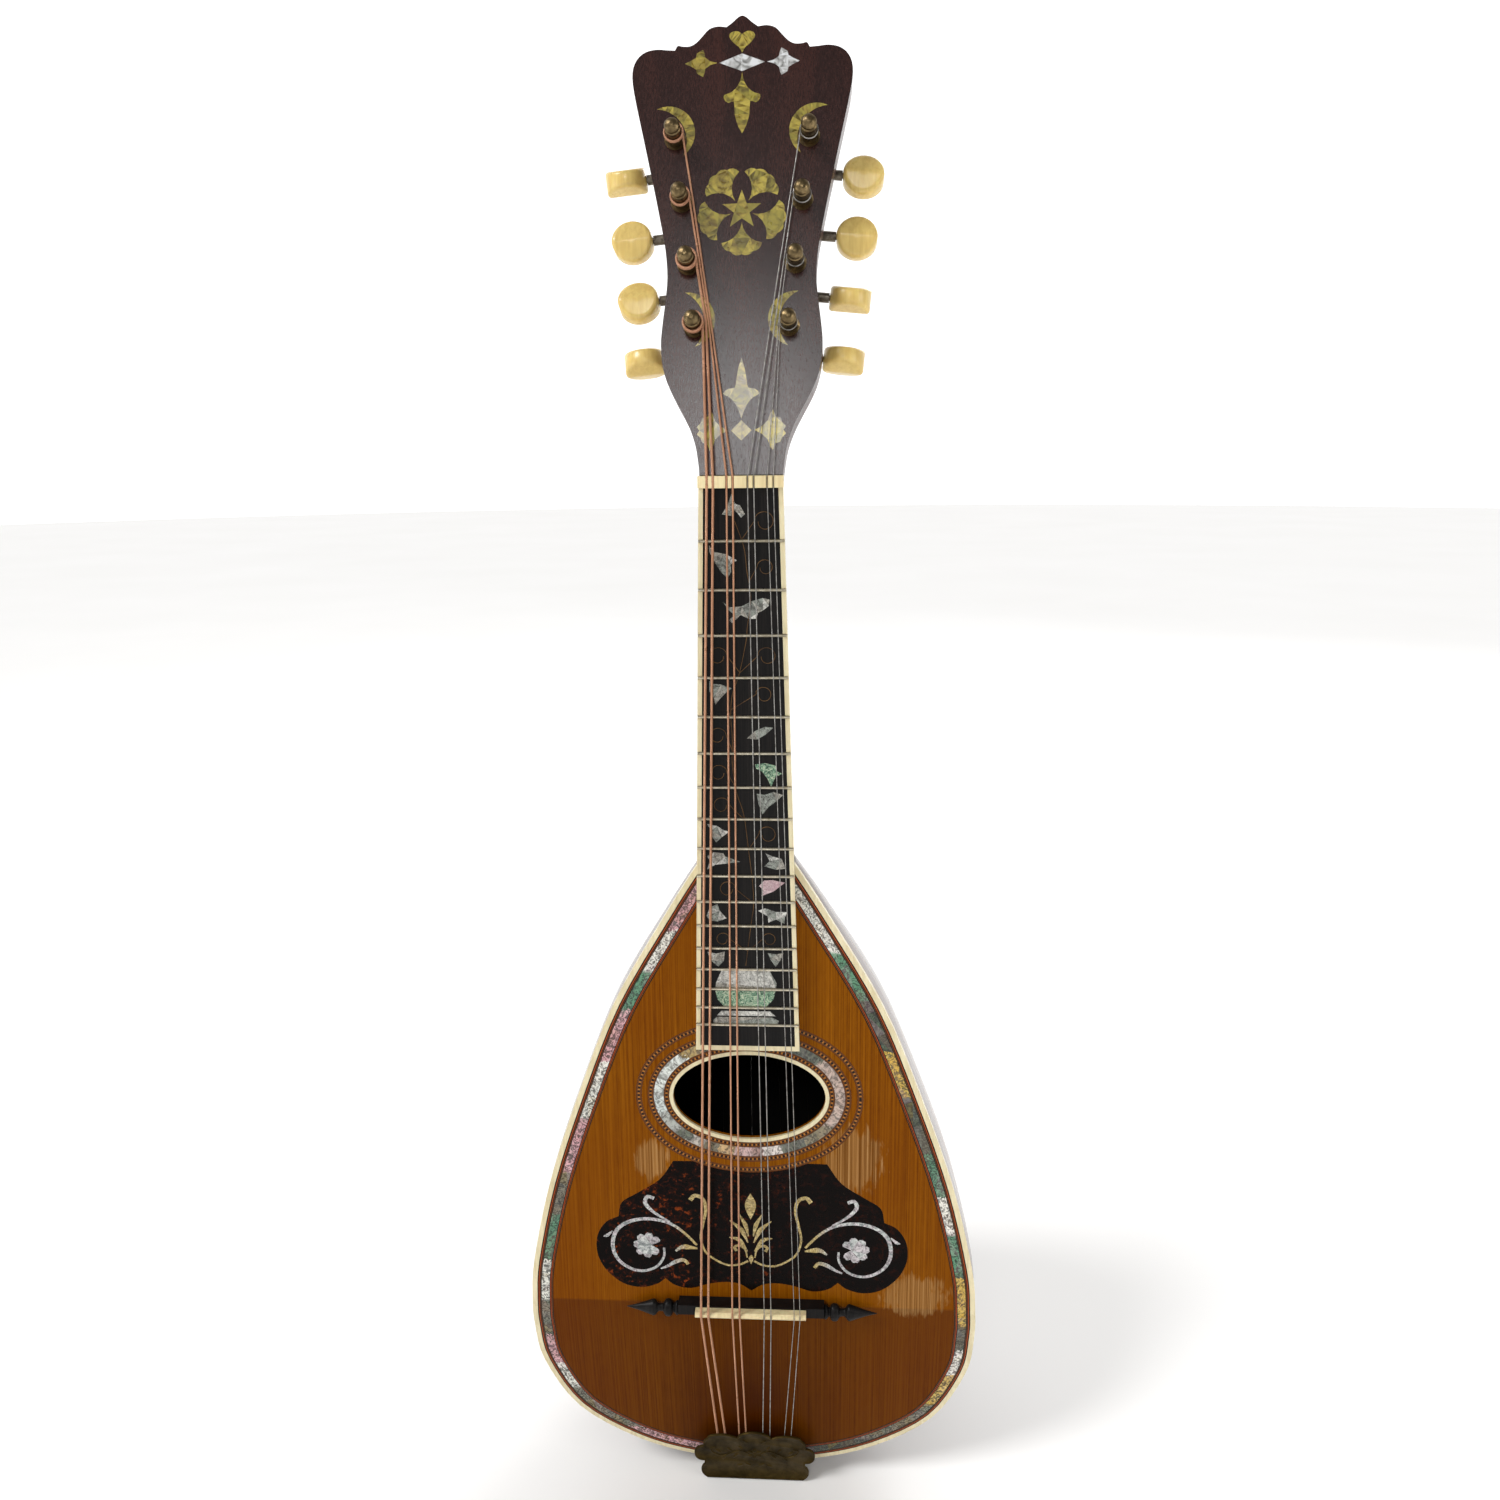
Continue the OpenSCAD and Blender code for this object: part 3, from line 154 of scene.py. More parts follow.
def mesh(name, verts, faces, uvs=None, flat=False):
    """Object from points in flat millimetres; uvs holds one pair for each point."""
    data = bpy.data.meshes.new(name)
    data.from_pydata([row(v) for v in verts], [], faces)
    if uvs:
        layer = data.uv_layers.new(name="UVMap")
        for loop in data.loops:
            layer.data[loop.index].uv = uvs[loop.vertex_index]
    data.polygons.foreach_set("use_smooth", [not flat] * len(data.polygons))
    data.update()
    obj = bpy.data.objects.new(name, data)
    bpy.context.collection.objects.link(obj)
    return obj


def tidy_normals(obj):
    bm = bmesh.new()
    bm.from_mesh(obj.data)
    bmesh.ops.remove_doubles(bm, verts=bm.verts, dist=1e-7)
    bmesh.ops.recalc_face_normals(bm, faces=bm.faces)
    bm.to_mesh(obj.data)
    bm.free()


def bevel(obj, width, segments=3, angle=30):
    mod = obj.modifiers.new("bevel", "BEVEL")
    mod.width, mod.segments = width * MM, segments
    mod.limit_method, mod.angle_limit = "ANGLE", math.radians(angle)
    mod.harden_normals = True


def piece(obj, body, slot, material, *replaced):
    obj.data.materials.clear()
    obj.data.materials.append(material)
    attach(obj, body)
    if replaced:
        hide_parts(*replaced)
    return obj


def grid(rows, closed=False, first=0):
    """Faces between rows of equally many points."""
    n = len(rows[0])
    wrap = n if closed else n - 1
    return [(first + r * n + k, first + r * n + (k + 1) % n,
             first + (r + 1) * n + (k + 1) % n, first + (r + 1) * n + k)
            for r in range(len(rows) - 1) for k in range(wrap)]


def sections(name, rows, uvs=None, flat=False):
    """Closed loops joined into a tube with its ends shut."""
    n = len(rows[0])
    faces = grid(rows, closed=True)
    faces += [tuple(range(n)), tuple((len(rows) - 1) * n + k for k in reversed(range(n)))]
    obj = mesh(name, [p for r in rows for p in r], faces, uvs, flat)
    if not uvs:
        tidy_normals(obj)
    return obj


def tube(path, radius, sides=10):
    """Rows of points of a round tube along a path, with uv in millimetres."""
    rows, uvs, run = [], [], 0.0
    u = None
    for i, p in enumerate(path):
        t = (path[min(i + 1, len(path) - 1)] - path[max(i - 1, 0)]).normalized()
        u = t.orthogonal().normalized() if u is None else (u - t * u.dot(t)).normalized()
        v = t.cross(u)
        rows.append([p + radius * (u * math.cos(a) + v * math.sin(a))
                     for a in (2 * math.pi * k / sides for k in range(sides))])
        run += (p - path[i - 1]).length if i else 0
        uvs += [(run, k / sides) for k in range(sides)]
    return rows, uvs


# ---- materials --------------------------------------------------------------

def srgb(r, g, b):
    def lin(c):
        c /= 255
        return c / 12.92 if c <= 0.04045 else ((c + 0.055) / 1.055) ** 2.4
    return (lin(r), lin(g), lin(b), 1)


class Look:
    """A procedural material round one Principled shader."""

    def __init__(self, name, **values):
        self.mat = bpy.data.materials.new(name)
        self.mat.use_nodes = True
        self.tree = self.mat.node_tree
        self.shader = self.tree.nodes["Principled BSDF"]
        for key, value in values.items():
            self.set(key, value)

    def set(self, key, value):
        socket = self.shader.inputs[key.replace("_", " ")]
        if isinstance(value, bpy.types.NodeSocket):
            self.tree.links.new(value, socket)
        else:
            socket.default_value = value

    def node(self, kind, inputs=(), **props):
        n = self.tree.nodes.new("ShaderNode" + kind)
        for key, value in props.items():
            setattr(n, key, value)
        for key, value in dict(inputs).items():
            if isinstance(value, bpy.types.NodeSocket):
                self.tree.links.new(value, n.inputs[key])
            else:
                n.inputs[key].default_value = value
        return n

    def place(self, x=1, y=1, z=1, uv=False):
        """Position in millimetres, stretched; or the uv, for strips that have one."""
        co = self.node("TexCoord").outputs["UV" if uv else "Object"]
        size = (x, y, z) if uv else (x / MM, y / MM, z / MM)
        return self.node("Mapping", {"Vector": co, "Scale": size}).outputs[0]

    def split(self, vector):
        return self.node("SeparateXYZ", {0: vector}).outputs

    def noise(self, vector, scale=1.0, detail=3.0, rough=0.55, warp=0.0):
        return self.node("TexNoise", {"Vector": vector, "Scale": scale, "Detail": detail,
                                      "Roughness": rough, "Distortion": warp}).outputs[0]

    def math(self, op, a, b=0.0, c=0.0):
        return self.node("Math", {0: a, 1: b, 2: c}, operation=op).outputs[0]

    def span(self, value, a, b, c=0.0, d=1.0):
        return self.node("MapRange", {0: value, 1: a, 2: b, 3: c, 4: d}).outputs[0]

    def ramp(self, value, *stops, step=False):
        n = self.node("ValToRGB", {0: value})
        n.color_ramp.interpolation = "CONSTANT" if step else "LINEAR"
        items = n.color_ramp.elements
        while len(items) < len(stops):
            items.new(0.5)
        for item, (at, colour) in zip(items, stops):
            item.position, item.color = at, colour
        return n.outputs[0]

    def mix(self, value, a, b, blend="MIX"):
        n = self.node("Mix", data_type="RGBA", blend_type=blend)
        for key, v in ((0, value), (6, a), (7, b)):
            if isinstance(v, bpy.types.NodeSocket):
                self.tree.links.new(v, n.inputs[key])
            else:
                n.inputs[key].default_value = v
        return n.outputs[2]

    def bump(self, height, depth, strength=1.0):
        n = self.node("Bump", {"Height": height, "Distance": depth * MM, "Strength": strength})
        self.set("Normal", n.outputs[0])

    def finish(self, colour, rough=None, bump=None, depth=0.02):
        self.set("Base_Color", colour)
        if rough is not None:
            self.set("Roughness", rough)
        if bump is not None:
            self.bump(bump, depth)
        return self.mat


def wood(name, dark, mid, light, along="z", fine=1.3, contrast=1.0, rough=(0.3, 0.5),
         depth=0.03, **values):
    """Straight-grained wood: fine lines, broad bands and pores along one axis."""
    look = Look(name, **values)
    stretch = {"x": (0.02, 1, 1), "y": (1, 0.02, 1), "z": (1, 1, 0.02)}[along]
    lines = look.noise(look.place(*[fine * s for s in stretch]), 1.0, 5, 0.6, 0.25)
    bands = look.noise(look.place(*[0.09 * s for s in stretch]), 1.0, 2, 0.5, 0.6)
    pores = look.noise(look.place(*[5 * s for s in stretch]), 1.0, 2, 0.5)
    tone = look.math("ADD", look.math("MULTIPLY", lines, 0.6 * contrast),
                     look.math("MULTIPLY", bands, 0.5))
    colour = look.ramp(tone, (0.3, dark), (0.52, mid), (0.75, light))
    colour = look.mix(look.span(pores, 0.56, 0.7, 0, 0.55), colour, dark)
    return look.finish(colour, look.span(lines, 0.3, 0.7, *rough), pores, depth)


def spruce():
    """Old varnished spruce, paler where it is worn, with painted shade below the fold: darker and
    redder there, most of all in the middle towards the tail.
    """
    look = Look("spruce", Specular_IOR_Level=0.04)
    lines = look.noise(look.place(1.5, 0, 0.006), 1.0, 3, 0.65)
    silk = look.noise(look.place(0.5, 0, 0.12), 1.0, 4, 0.6, 0.4)
    broad = look.noise(look.place(0.018, 0, 0.01), 1.0, 2, 0.5)
    fine = look.noise(look.place(0.9, 0, 2.6), 1.0, 3, 0.6)
    grain = look.ramp(lines, (0.34, srgb(90, 44, 0)), (0.5, srgb(122, 68, 0)),
                      (0.66, srgb(142, 84, 6)))
    grain = look.mix(look.span(silk, 0.35, 0.7, 0, 0.25), grain, srgb(154, 94, 12))
    grain = look.mix(look.span(fine, 0.5, 0.72, 0, 0.25), grain, srgb(144, 80, 6))
    grain = look.mix(look.span(broad, 0.4, 0.65, 0, 0.35), grain, srgb(108, 50, 0))
    x, _, z = look.split(look.place())
    # Painted shade: darker below the fold, and darker still in the middle from the bridge towards
    # the tail.
    centre = look.math("MULTIPLY", look.span(z, -338, -390), look.span(
        look.math("ABSOLUTE", x), 45, 5, 0, 0.5))
    fold_shade = look.span(z, FOLD_Y + 0.6, FOLD_Y - 0.6, 0, 0.55)
    grain = look.mix(look.math("ADD", fold_shade, look.math("MULTIPLY", centre, 0.7)), grain,
                     srgb(58, 20, 0))
    near = look.span(look.math("ABSOLUTE", x), 30, 95, 0, 0.3)
    grain = look.mix(near, grain, srgb(100, 44, 0))

    def worn(at_x, at_z, wide, tall):
        dx = look.math("DIVIDE", look.math("SUBTRACT", x, at_x), wide)
        dz = look.math("DIVIDE", look.math("SUBTRACT", z, at_z), tall)
        far = look.math("SQRT", look.math("ADD", look.math("MULTIPLY", dx, dx),
                                          look.math("MULTIPLY", dz, dz)))
        ragged = look.math("ADD", far, look.math("MULTIPLY", look.math("SUBTRACT", silk, 0.5), 1.5))
        return look.span(ragged, 0.98, 0.7)
    bare = look.math("MAXIMUM", worn(42, -268, 13, 17), look.math("MAXIMUM", worn(
        68, -331, 15, 11), worn(-40, -270, 8, 10)))
    pale = look.ramp(lines, (0.38, srgb(96, 66, 30)), (0.55, srgb(176, 136, 84)),
                     (0.68, srgb(206, 172, 120)))
    grain = look.mix(look.math("MULTIPLY", bare, 0.45), grain, pale)
    return look.finish(grain, look.span(silk, 0.3, 0.7, 0.3, 0.46), lines, 0.035)


def pearl(name, kinds, scale=0.16, dark_lines=0.0, zone=None, rough=0.2, coat=0.25):
    """Polished shell in separate pieces.

    kinds holds a dark and a light colour for each kind of shell; every piece is of
    one kind, with soft waves between its two colours and thin growth lines.
    """
    look = Look(name, Coat_Weight=coat, Coat_Roughness=0.1)
    own = look.node("NewGeometry").outputs["Random Per Island"]
    at = look.node("VectorMath", {0: look.place(), 1: look.node(
        "CombineXYZ", {0: look.math("MULTIPLY", own, 50), 1: own, 2: 0.0}).outputs[0]},
        operation="ADD").outputs[0]
    swirl = look.noise(at, scale, 3, 0.55, 2.2)
    waves = look.noise(at, scale * 2.5, 2, 0.5, 2.5)
    tone = look.math("ADD", look.math("MULTIPLY", swirl, 0.65), look.math("MULTIPLY", waves, 0.35))
    steps = [(i / len(kinds), dark) for i, (dark, _) in enumerate(kinds)]
    lights = [(i / len(kinds), light) for i, (_, light) in enumerate(kinds)]
    colour = look.mix(look.span(tone, 0.4, 0.6), look.ramp(own, *steps, step=True),
                      look.ramp(own, *lights, step=True))
    if zone:
        colour = zone(look, colour, waves)
    if dark_lines:
        ridge = look.math("ABSOLUTE", look.math("SUBTRACT", look.noise(at, 0.45, 3, 0.6, 3), 0.5))
        colour = look.mix(look.span(ridge, 0.0, 0.03, dark_lines, 0), colour, srgb(26, 24, 20))
    return look.finish(colour, look.span(waves, 0.3, 0.7, rough, rough + 0.2), waves, 0.02)


def metal(name, bright, dull, rough, speck=0.35, scale=0.5, depth=0.03, **values):
    """Aged metal with dull patches."""
    look = Look(name, Metallic=1.0, **values)
    patch = look.noise(look.place(), scale, 6, 0.65, 0.3)
    fine = look.noise(look.place(), scale * 9, 3, 0.6)
    colour = look.mix(look.span(patch, 0.4, 0.4 + speck), bright, dull)
    return look.finish(colour, look.span(patch, 0.3, 0.7, rough, rough + 0.25), fine, depth)


def bone(name, light, shade, rough, **values):
    """Bone or ivory-like plastic with faint straight grain."""
    look = Look(name, Subsurface_Weight=0.12, Subsurface_Radius=(0.002, 0.001, 0.0006), **values)
    grain = look.noise(look.place(0.7, 0.7, 0.05), 1.0, 4, 0.55, 0.5)
    cloud = look.noise(look.place(), 0.08, 3, 0.6)
    colour = look.mix(look.span(grain, 0.4, 0.72, 0, 0.55), light, shade)
    colour = look.mix(look.span(cloud, 0.45, 0.75, 0, 0.4), colour, shade)
    return look.finish(colour, look.span(cloud, 0.3, 0.7, rough, rough + 0.15), grain, 0.01)


def lines_across(name, *stops):
    """Strip whose colour changes in steps across its width."""
    look = Look(name, Specular_IOR_Level=0.2)
    at = look.place(uv=True)
    v = look.split(at)[1]
    fuzz = look.noise(look.place(), 1.4, 3, 0.6)
    wobble = look.math("ADD", v, look.math("MULTIPLY", look.math("SUBTRACT", fuzz, 0.5), 0.05))
    colour = look.ramp(wobble, *stops, step=True)
    colour = look.mix(look.span(fuzz, 0.35, 0.75, 0, 0.25), colour, srgb(24, 10, 4))
    return look.finish(colour, look.span(fuzz, 0.3, 0.7, 0.3, 0.5), fuzz, 0.02)


def rope(name, pitch):
    """Row of dark squares on tan between two pairs of thin dark lines."""
    look = Look(name, Specular_IOR_Level=0.2)
    u, v, _ = look.split(look.place(uv=True))
    beat = look.math("FRACT", look.math("DIVIDE", u, pitch))
    off = look.math("ABSOLUTE", look.math("SUBTRACT", v, 0.5))
    square = look.math("MULTIPLY", look.math("LESS_THAN", beat, 0.6),
                       look.math("LESS_THAN", off, 0.2))
    side = look.ramp(off, (0, srgb(168, 104, 36)), (0.22, srgb(10, 4, 2)),
                     (0.31, srgb(140, 78, 20)), (0.38, srgb(10, 4, 2)),
                     (0.47, srgb(130, 66, 8)), step=True)
    fuzz = look.noise(look.place(), 1.2, 3, 0.6)
    colour = look.mix(square, side, srgb(14, 8, 6))
    colour = look.mix(look.span(fuzz, 0.4, 0.75, 0, 0.2), colour, srgb(60, 30, 8))
    return look.finish(colour, look.span(fuzz, 0.3, 0.7, 0.3, 0.5), fuzz, 0.02)


def tortoise():
    look = Look("tortoiseshell", Specular_IOR_Level=0.06)
    cloud = look.noise(look.place(), 0.11, 5, 0.62, 1.2)
    fleck = look.noise(look.place(), 0.42, 4, 0.6, 1.0)
    left = look.span(look.split(look.place())[0], -15, 25, 1, 0.35)
    both = look.math("MULTIPLY", look.math("MULTIPLY", look.span(cloud, 0.46, 0.62),
                     look.span(fleck, 0.47, 0.66)), left)
    colour = look.ramp(both, (0, srgb(9, 5, 4)), (0.35, srgb(40, 14, 6)), (1, srgb(128, 54, 14)))
    return look.finish(colour, look.span(cloud, 0.3, 0.7, 0.16, 0.3), fleck, 0.01)


def staves():
    """Dark ribs with a thin light line where two of them meet."""
    look = Look("bowl_staves", Coat_Weight=0.6, Coat_Roughness=0.12)
    u, v, _ = look.split(look.place(uv=True))
    own = look.node("TexWhiteNoise", {"W": look.math("FLOOR", u)},
                    noise_dimensions="1D").outputs["Value"]
    across = look.math("ABSOLUTE", look.math("SUBTRACT", look.math("FRACT", u), 0.5))
    at = look.node("CombineXYZ", {0: look.math("MULTIPLY", u, 14), 1: look.math(
        "MULTIPLY", v, 0.012), 2: look.math("MULTIPLY", own, 30)}).outputs[0]
    lines = look.noise(at, 1.0, 5, 0.6, 0.4)
    broad = look.noise(at, 0.14, 2, 0.5, 0.8)
    tone = look.math("ADD", look.math("MULTIPLY", lines, 0.6), look.math("MULTIPLY", own, 0.22))
    colour = look.ramp(tone, (0.22, srgb(26, 10, 6)), (0.42, srgb(62, 26, 14)),
                       (0.62, srgb(98, 44, 22)))
    colour = look.mix(look.span(broad, 0.4, 0.7, 0, 0.5), colour, srgb(34, 13, 8))
    colour = look.mix(look.span(across, 0.475, 0.48), colour, srgb(186, 150, 96))
    return look.finish(colour, look.span(lines, 0.3, 0.7, 0.22, 0.36), lines, 0.02)


def winding(name, core, groove):
    """Round wire wound on a core: fine ridges along the string, with painted shade in the grooves
    between them.
    """
    look = Look(name, Metallic=0.45)
    u = look.split(look.place(uv=True))[0]
    ridge = look.math("SINE", look.math("MULTIPLY", u, 2 * math.pi / 0.32))
    stain = look.noise(look.place(), 0.12, 4, 0.6)
    # Painted shade: darker in the grooves between turns, in the tarnish colour also used for the
    # stains.
    colour = look.mix(look.span(ridge, -1, 1), groove, core)
    colour = look.mix(look.span(stain, 0.4, 0.7, 0, 0.4), colour, groove)
    return look.finish(colour, look.span(stain, 0.3, 0.7, 0.25, 0.4), ridge, 0.05)


SHELL_WHITE = [(srgb(104, 98, 100), srgb(206, 198, 200)),
               (srgb(112, 118, 118), srgb(204, 206, 202))]
SHELL_GOLD = [(srgb(96, 78, 22), srgb(176, 158, 62)), (srgb(84, 72, 20), srgb(150, 138, 50))]
SHELL_SILVER = [(srgb(96, 92, 84), srgb(176, 172, 160)), (srgb(128, 128, 122), srgb(216, 214, 206)),
                (srgb(84, 84, 78), srgb(150, 156, 146))]
SHELL_ABALONE = [
    (srgb(150, 142, 132), srgb(236, 230, 220)), (srgb(36, 50, 40), srgb(140, 178, 152)),
    (srgb(96, 70, 18), srgb(206, 180, 84)), (srgb(120, 92, 76), srgb(184, 158, 142)),
    (srgb(54, 60, 60), srgb(150, 156, 150)), (srgb(150, 104, 122), srgb(232, 214, 214)),
    (srgb(40, 62, 60), srgb(172, 186, 170)), (srgb(128, 108, 82), srgb(214, 202, 184)),
]


def rosette_zone(look, colour, waves):
    """White and blue on the left, gold and dark green in turn, pink and white below."""
    x, _, z = look.split(look.place())
    turn = look.math("ARCTAN2", look.math("SUBTRACT", z, HOLE_Y), x)
    tone = look.math("ADD", look.math("DIVIDE", turn, 2 * math.pi), 0.5)
    tone = look.math("ADD", tone, look.math("MULTIPLY", look.math("SUBTRACT", waves, 0.5), 0.03))
    by_side = look.ramp(tone, (0.0, srgb(206, 216, 214)), (0.035, srgb(168, 172, 166)),
                        (0.075, srgb(70, 84, 52)), (0.105, srgb(190, 180, 170)),
                        (0.135, srgb(92, 78, 34)), (0.17, srgb(196, 158, 96)),
                        (0.21, srgb(206, 170, 166)), (0.255, srgb(160, 120, 110)),
                        (0.285, srgb(228, 218, 214)), (0.33, srgb(66, 70, 40)),
                        (0.385, srgb(120, 104, 60)), (0.44, srgb(190, 164, 150)),
                        (0.58, srgb(66, 74, 44)), (0.64, srgb(34, 42, 26)),
                        (0.82, srgb(60, 62, 30)), (0.865, srgb(170, 140, 56)),
                        (0.905, srgb(220, 226, 222)), step=True)
    shaded = look.mix(look.span(waves, 0.42, 0.58), srgb(120, 116, 108), srgb(255, 254, 250))
    return look.mix(0.86, colour, look.mix(0.85, by_side, shaded, "MULTIPLY"))


def edge_zone(look, colour, waves):
    """Bands of shell along each side: white, pink and green left, gold and green right."""
    x, _, z = look.split(look.place())
    along = look.span(z, -150, -430)
    along = look.math("ADD", along, look.math("MULTIPLY", look.math("SUBTRACT", waves, 0.5), 0.02))
    white, pink, grey = srgb(236, 234, 228), srgb(214, 158, 168), srgb(112, 104, 86)
    green, dark, gold = srgb(74, 134, 100), srgb(50, 54, 26), srgb(212, 170, 40)
    left = look.ramp(along, (0, pink), (0.07, white), (0.13, green), (0.19, pink), (0.27, white),
                     (0.36, pink), (0.45, grey), (0.52, green), (0.6, white), (0.67, grey),
                     (0.74, pink), (0.8, white), (0.85, grey), (0.93, pink), step=True)
    right = look.ramp(along, (0, white), (0.1, green), (0.17, dark), (0.25, gold), (0.32, dark),
                      (0.41, green), (0.48, white), (0.54, green), (0.61, gold), (0.7, dark),
                      (0.75, white), (0.8, gold), (0.86, grey), (0.94, dark), step=True)
    by_side = look.mix(look.math("GREATER_THAN", x, 0), left, right)
    shaded = look.mix(look.span(waves, 0.42, 0.58), srgb(70, 68, 62), srgb(255, 254, 248))
    return look.mix(0.85, colour, look.mix(0.9, by_side, shaded, "MULTIPLY"))


def guard_zone(look, colour, waves):
    """Silver outer scrolls, gold inner stems."""
    x = look.math("ABSOLUTE", look.split(look.place())[0])
    gold = look.ramp(waves, (0.3, srgb(96, 78, 28)), (0.55, srgb(176, 148, 62)),
                     (0.7, srgb(218, 196, 118)))
    inner = look.math("MULTIPLY", look.span(x, 33, 27), 0.85)
    return look.mix(inner, colour, gold)


def head_zone(look, colour, waves):
    """Silver diamond and right fleur among the gold figures."""
    x, _, z = look.split(look.place())
    diamond = look.math("MULTIPLY", look.span(z, 142.9, 143.1), look.span(z, 149.6, 149.5))
    fleur = look.math("MULTIPLY", look.math("GREATER_THAN", x, 8.4), look.math("MULTIPLY",
                      look.math("GREATER_THAN", z, 141), look.math("LESS_THAN", z, 152)))
    silver = look.math("MULTIPLY", look.math("MAXIMUM", diamond, fleur),
                       look.math("GREATER_THAN", x, -8.4))
    white = look.ramp(waves, (0.35, srgb(120, 120, 118)), (0.5, srgb(176, 176, 174)),
                      (0.65, srgb(214, 216, 218)))
    return look.mix(silver, colour, white)


def board_zone(look, colour, waves):
    """Green abalone on a few leaves and on half of the vase."""
    x, _, z = look.split(look.place())
    vase = look.math("MULTIPLY", look.span(z, -191.6, -191.7), look.span(z, -199, -198.9))
    flower = look.math("MULTIPLY", look.math("MULTIPLY", look.span(x, 2, 3),
                       look.span(z, -99, -99.6)), look.span(z, -109.5, -109))
    green = look.ramp(waves, (0.3, srgb(30, 62, 46)), (0.5, srgb(110, 152, 120)),
                      (0.65, srgb(190, 200, 170)))
    colour = look.mix(look.math("MAXIMUM", vase, flower), colour, green)
    pink = look.math("MULTIPLY", look.span(z, -145, -146), look.span(z, -156, -155))
    return look.mix(look.math("MULTIPLY", pink, look.span(x, 3, 4, 0, 0.6)), colour,
                    srgb(214, 170, 180))


MAT = {
    "spruce": spruce(),
    "bowl_wood": wood("bowl_wood", srgb(26, 10, 6), srgb(52, 21, 12), srgb(84, 38, 20),
                      Coat_Weight=0.6, Coat_Roughness=0.12),
    "inner_wood": wood("inner_wood", srgb(108, 74, 40), srgb(150, 110, 66), srgb(182, 142, 94),
                       along="x", rough=(0.6, 0.8)),
    "neck_wood": wood("neck_wood", srgb(30, 12, 9), srgb(58, 24, 17), srgb(86, 40, 27),
                      Coat_Weight=0.25, Coat_Roughness=0.2),
    "rosewood": wood("rosewood", srgb(20, 8, 7), srgb(38, 17, 14), srgb(56, 28, 22), fine=2.4,
                     contrast=1.15, rough=(0.2, 0.27), depth=0.012, Specular_IOR_Level=0.5),
    "ebony": wood("ebony", srgb(8, 8, 8), srgb(18, 17, 17), srgb(36, 32, 30), fine=1.8,
                  rough=(0.28, 0.42), depth=0.04, Specular_IOR_Level=0.12),
    "bone": bone("bone", srgb(232, 216, 170), srgb(196, 172, 122), 0.24),
    "ivory_binding": bone("ivory_binding", srgb(226, 214, 176), srgb(190, 172, 126), 0.22,
                          Coat_Weight=0.3, Coat_Roughness=0.1),
    "fret_metal": metal("fret_metal", srgb(206, 198, 178), srgb(140, 128, 104), 0.2, depth=0.01),
    "gold_pearl": pearl("gold_pearl", SHELL_GOLD, 0.07, zone=head_zone, rough=0.24, coat=0.6),
    "white_pearl": pearl("white_pearl", SHELL_SILVER, 0.2, dark_lines=0.8, zone=board_zone),
    "guard_pearl": pearl("guard_pearl", SHELL_WHITE, 0.2, dark_lines=0.3, zone=guard_zone),
    "abalone": pearl("abalone", SHELL_ABALONE, 0.16, dark_lines=0.6, zone=edge_zone, rough=0.16,
                     coat=0.1),
    "rosette_shell": pearl("rosette_shell", SHELL_WHITE, 0.1, zone=rosette_zone),
    "tortoiseshell": tortoise(),
    "tuner_brass": metal("tuner_brass", srgb(128, 110, 78), srgb(48, 38, 28), 0.22, scale=0.35),
    "worm_steel": metal("worm_steel", srgb(120, 112, 100), srgb(58, 48, 38), 0.34),
    "tail_metal": metal("tail_metal", srgb(74, 60, 30), srgb(34, 27, 12), 0.4, scale=0.16,
                        depth=0.01),
    "knob_bone": bone("knob_bone", srgb(228, 200, 120), srgb(196, 160, 82), 0.25,
                      Coat_Weight=0.15, Coat_Roughness=0.12),
    "bronze_string": winding("bronze_string", srgb(236, 182, 146), srgb(150, 98, 68)),
    "steel_string": metal("steel_string", srgb(170, 168, 164), srgb(96, 92, 86), 0.22,
                          depth=0.005),
}
STAVES = staves()
# Inner faces of the ribs, near-black: painted shade of the closed bowl's inside.
INSIDE_SHADE = Look("bowl_inside_shade")
INSIDE_SHADE.finish(INSIDE_SHADE.ramp(INSIDE_SHADE.noise(INSIDE_SHADE.place(), 0.3, 4), (0.3, srgb(10, 7, 5)),
                          (0.7, srgb(22, 15, 10))), 0.95, INSIDE_SHADE.noise(INSIDE_SHADE.place(), 2), 0.05)
ROPE = rope("rope_ring", 1.7)
EDGE_LINES = lines_across("edge_lines", (0, srgb(10, 4, 2)), (0.26, srgb(158, 66, 10)),
                          (0.5, srgb(10, 4, 2)), (0.7, srgb(120, 64, 16)), (0.8, srgb(10, 4, 2)))
INNER_LINES = lines_across("inner_lines", (0, srgb(10, 4, 2)), (0.22, srgb(168, 66, 8)),
                           (0.42, srgb(10, 4, 2)), (0.62, srgb(140, 76, 12)),
                           (0.74, srgb(10, 4, 2)))
VINE = Look("vine", Metallic=0.6, Roughness=0.45)
VINE.finish(VINE.ramp(VINE.noise(VINE.place(), 0.2, 3), (0.3, srgb(66, 44, 22)),
                      (0.7, srgb(120, 88, 50))), bump=VINE.noise(VINE.place(), 4), depth=0.01)


# ---- bowl -------------------------------------------------------------------

def bowl_pt(i, a, inwards=0.0):
    """Point of the bowl at edge sample i and a degrees round it."""
    def raw(j, b):
        w = EDGE[j].x / math.cos(math.radians(RIM_ANGLE))
        past = min(EDGE[j].y - FOLD_Y, 0)
        b = math.radians(b)
        return Vector((w * math.cos(b), EDGE[j].y - past + past * math.cos(FOLD_ANGLE),
                       past * math.sin(FOLD_ANGLE) - RIM_DROP
                       - BOWL_RATIO * w * (math.sin(b) + math.sin(math.radians(RIM_ANGLE)))))
    along = raw(min(i + 1, EDGE_LAST - 1), a) - raw(max(i - 1, 0), a)
    n = along.cross(raw(i, a + 1) - raw(i, a - 1)).normalized()
    return raw(i, a) - n * inwards


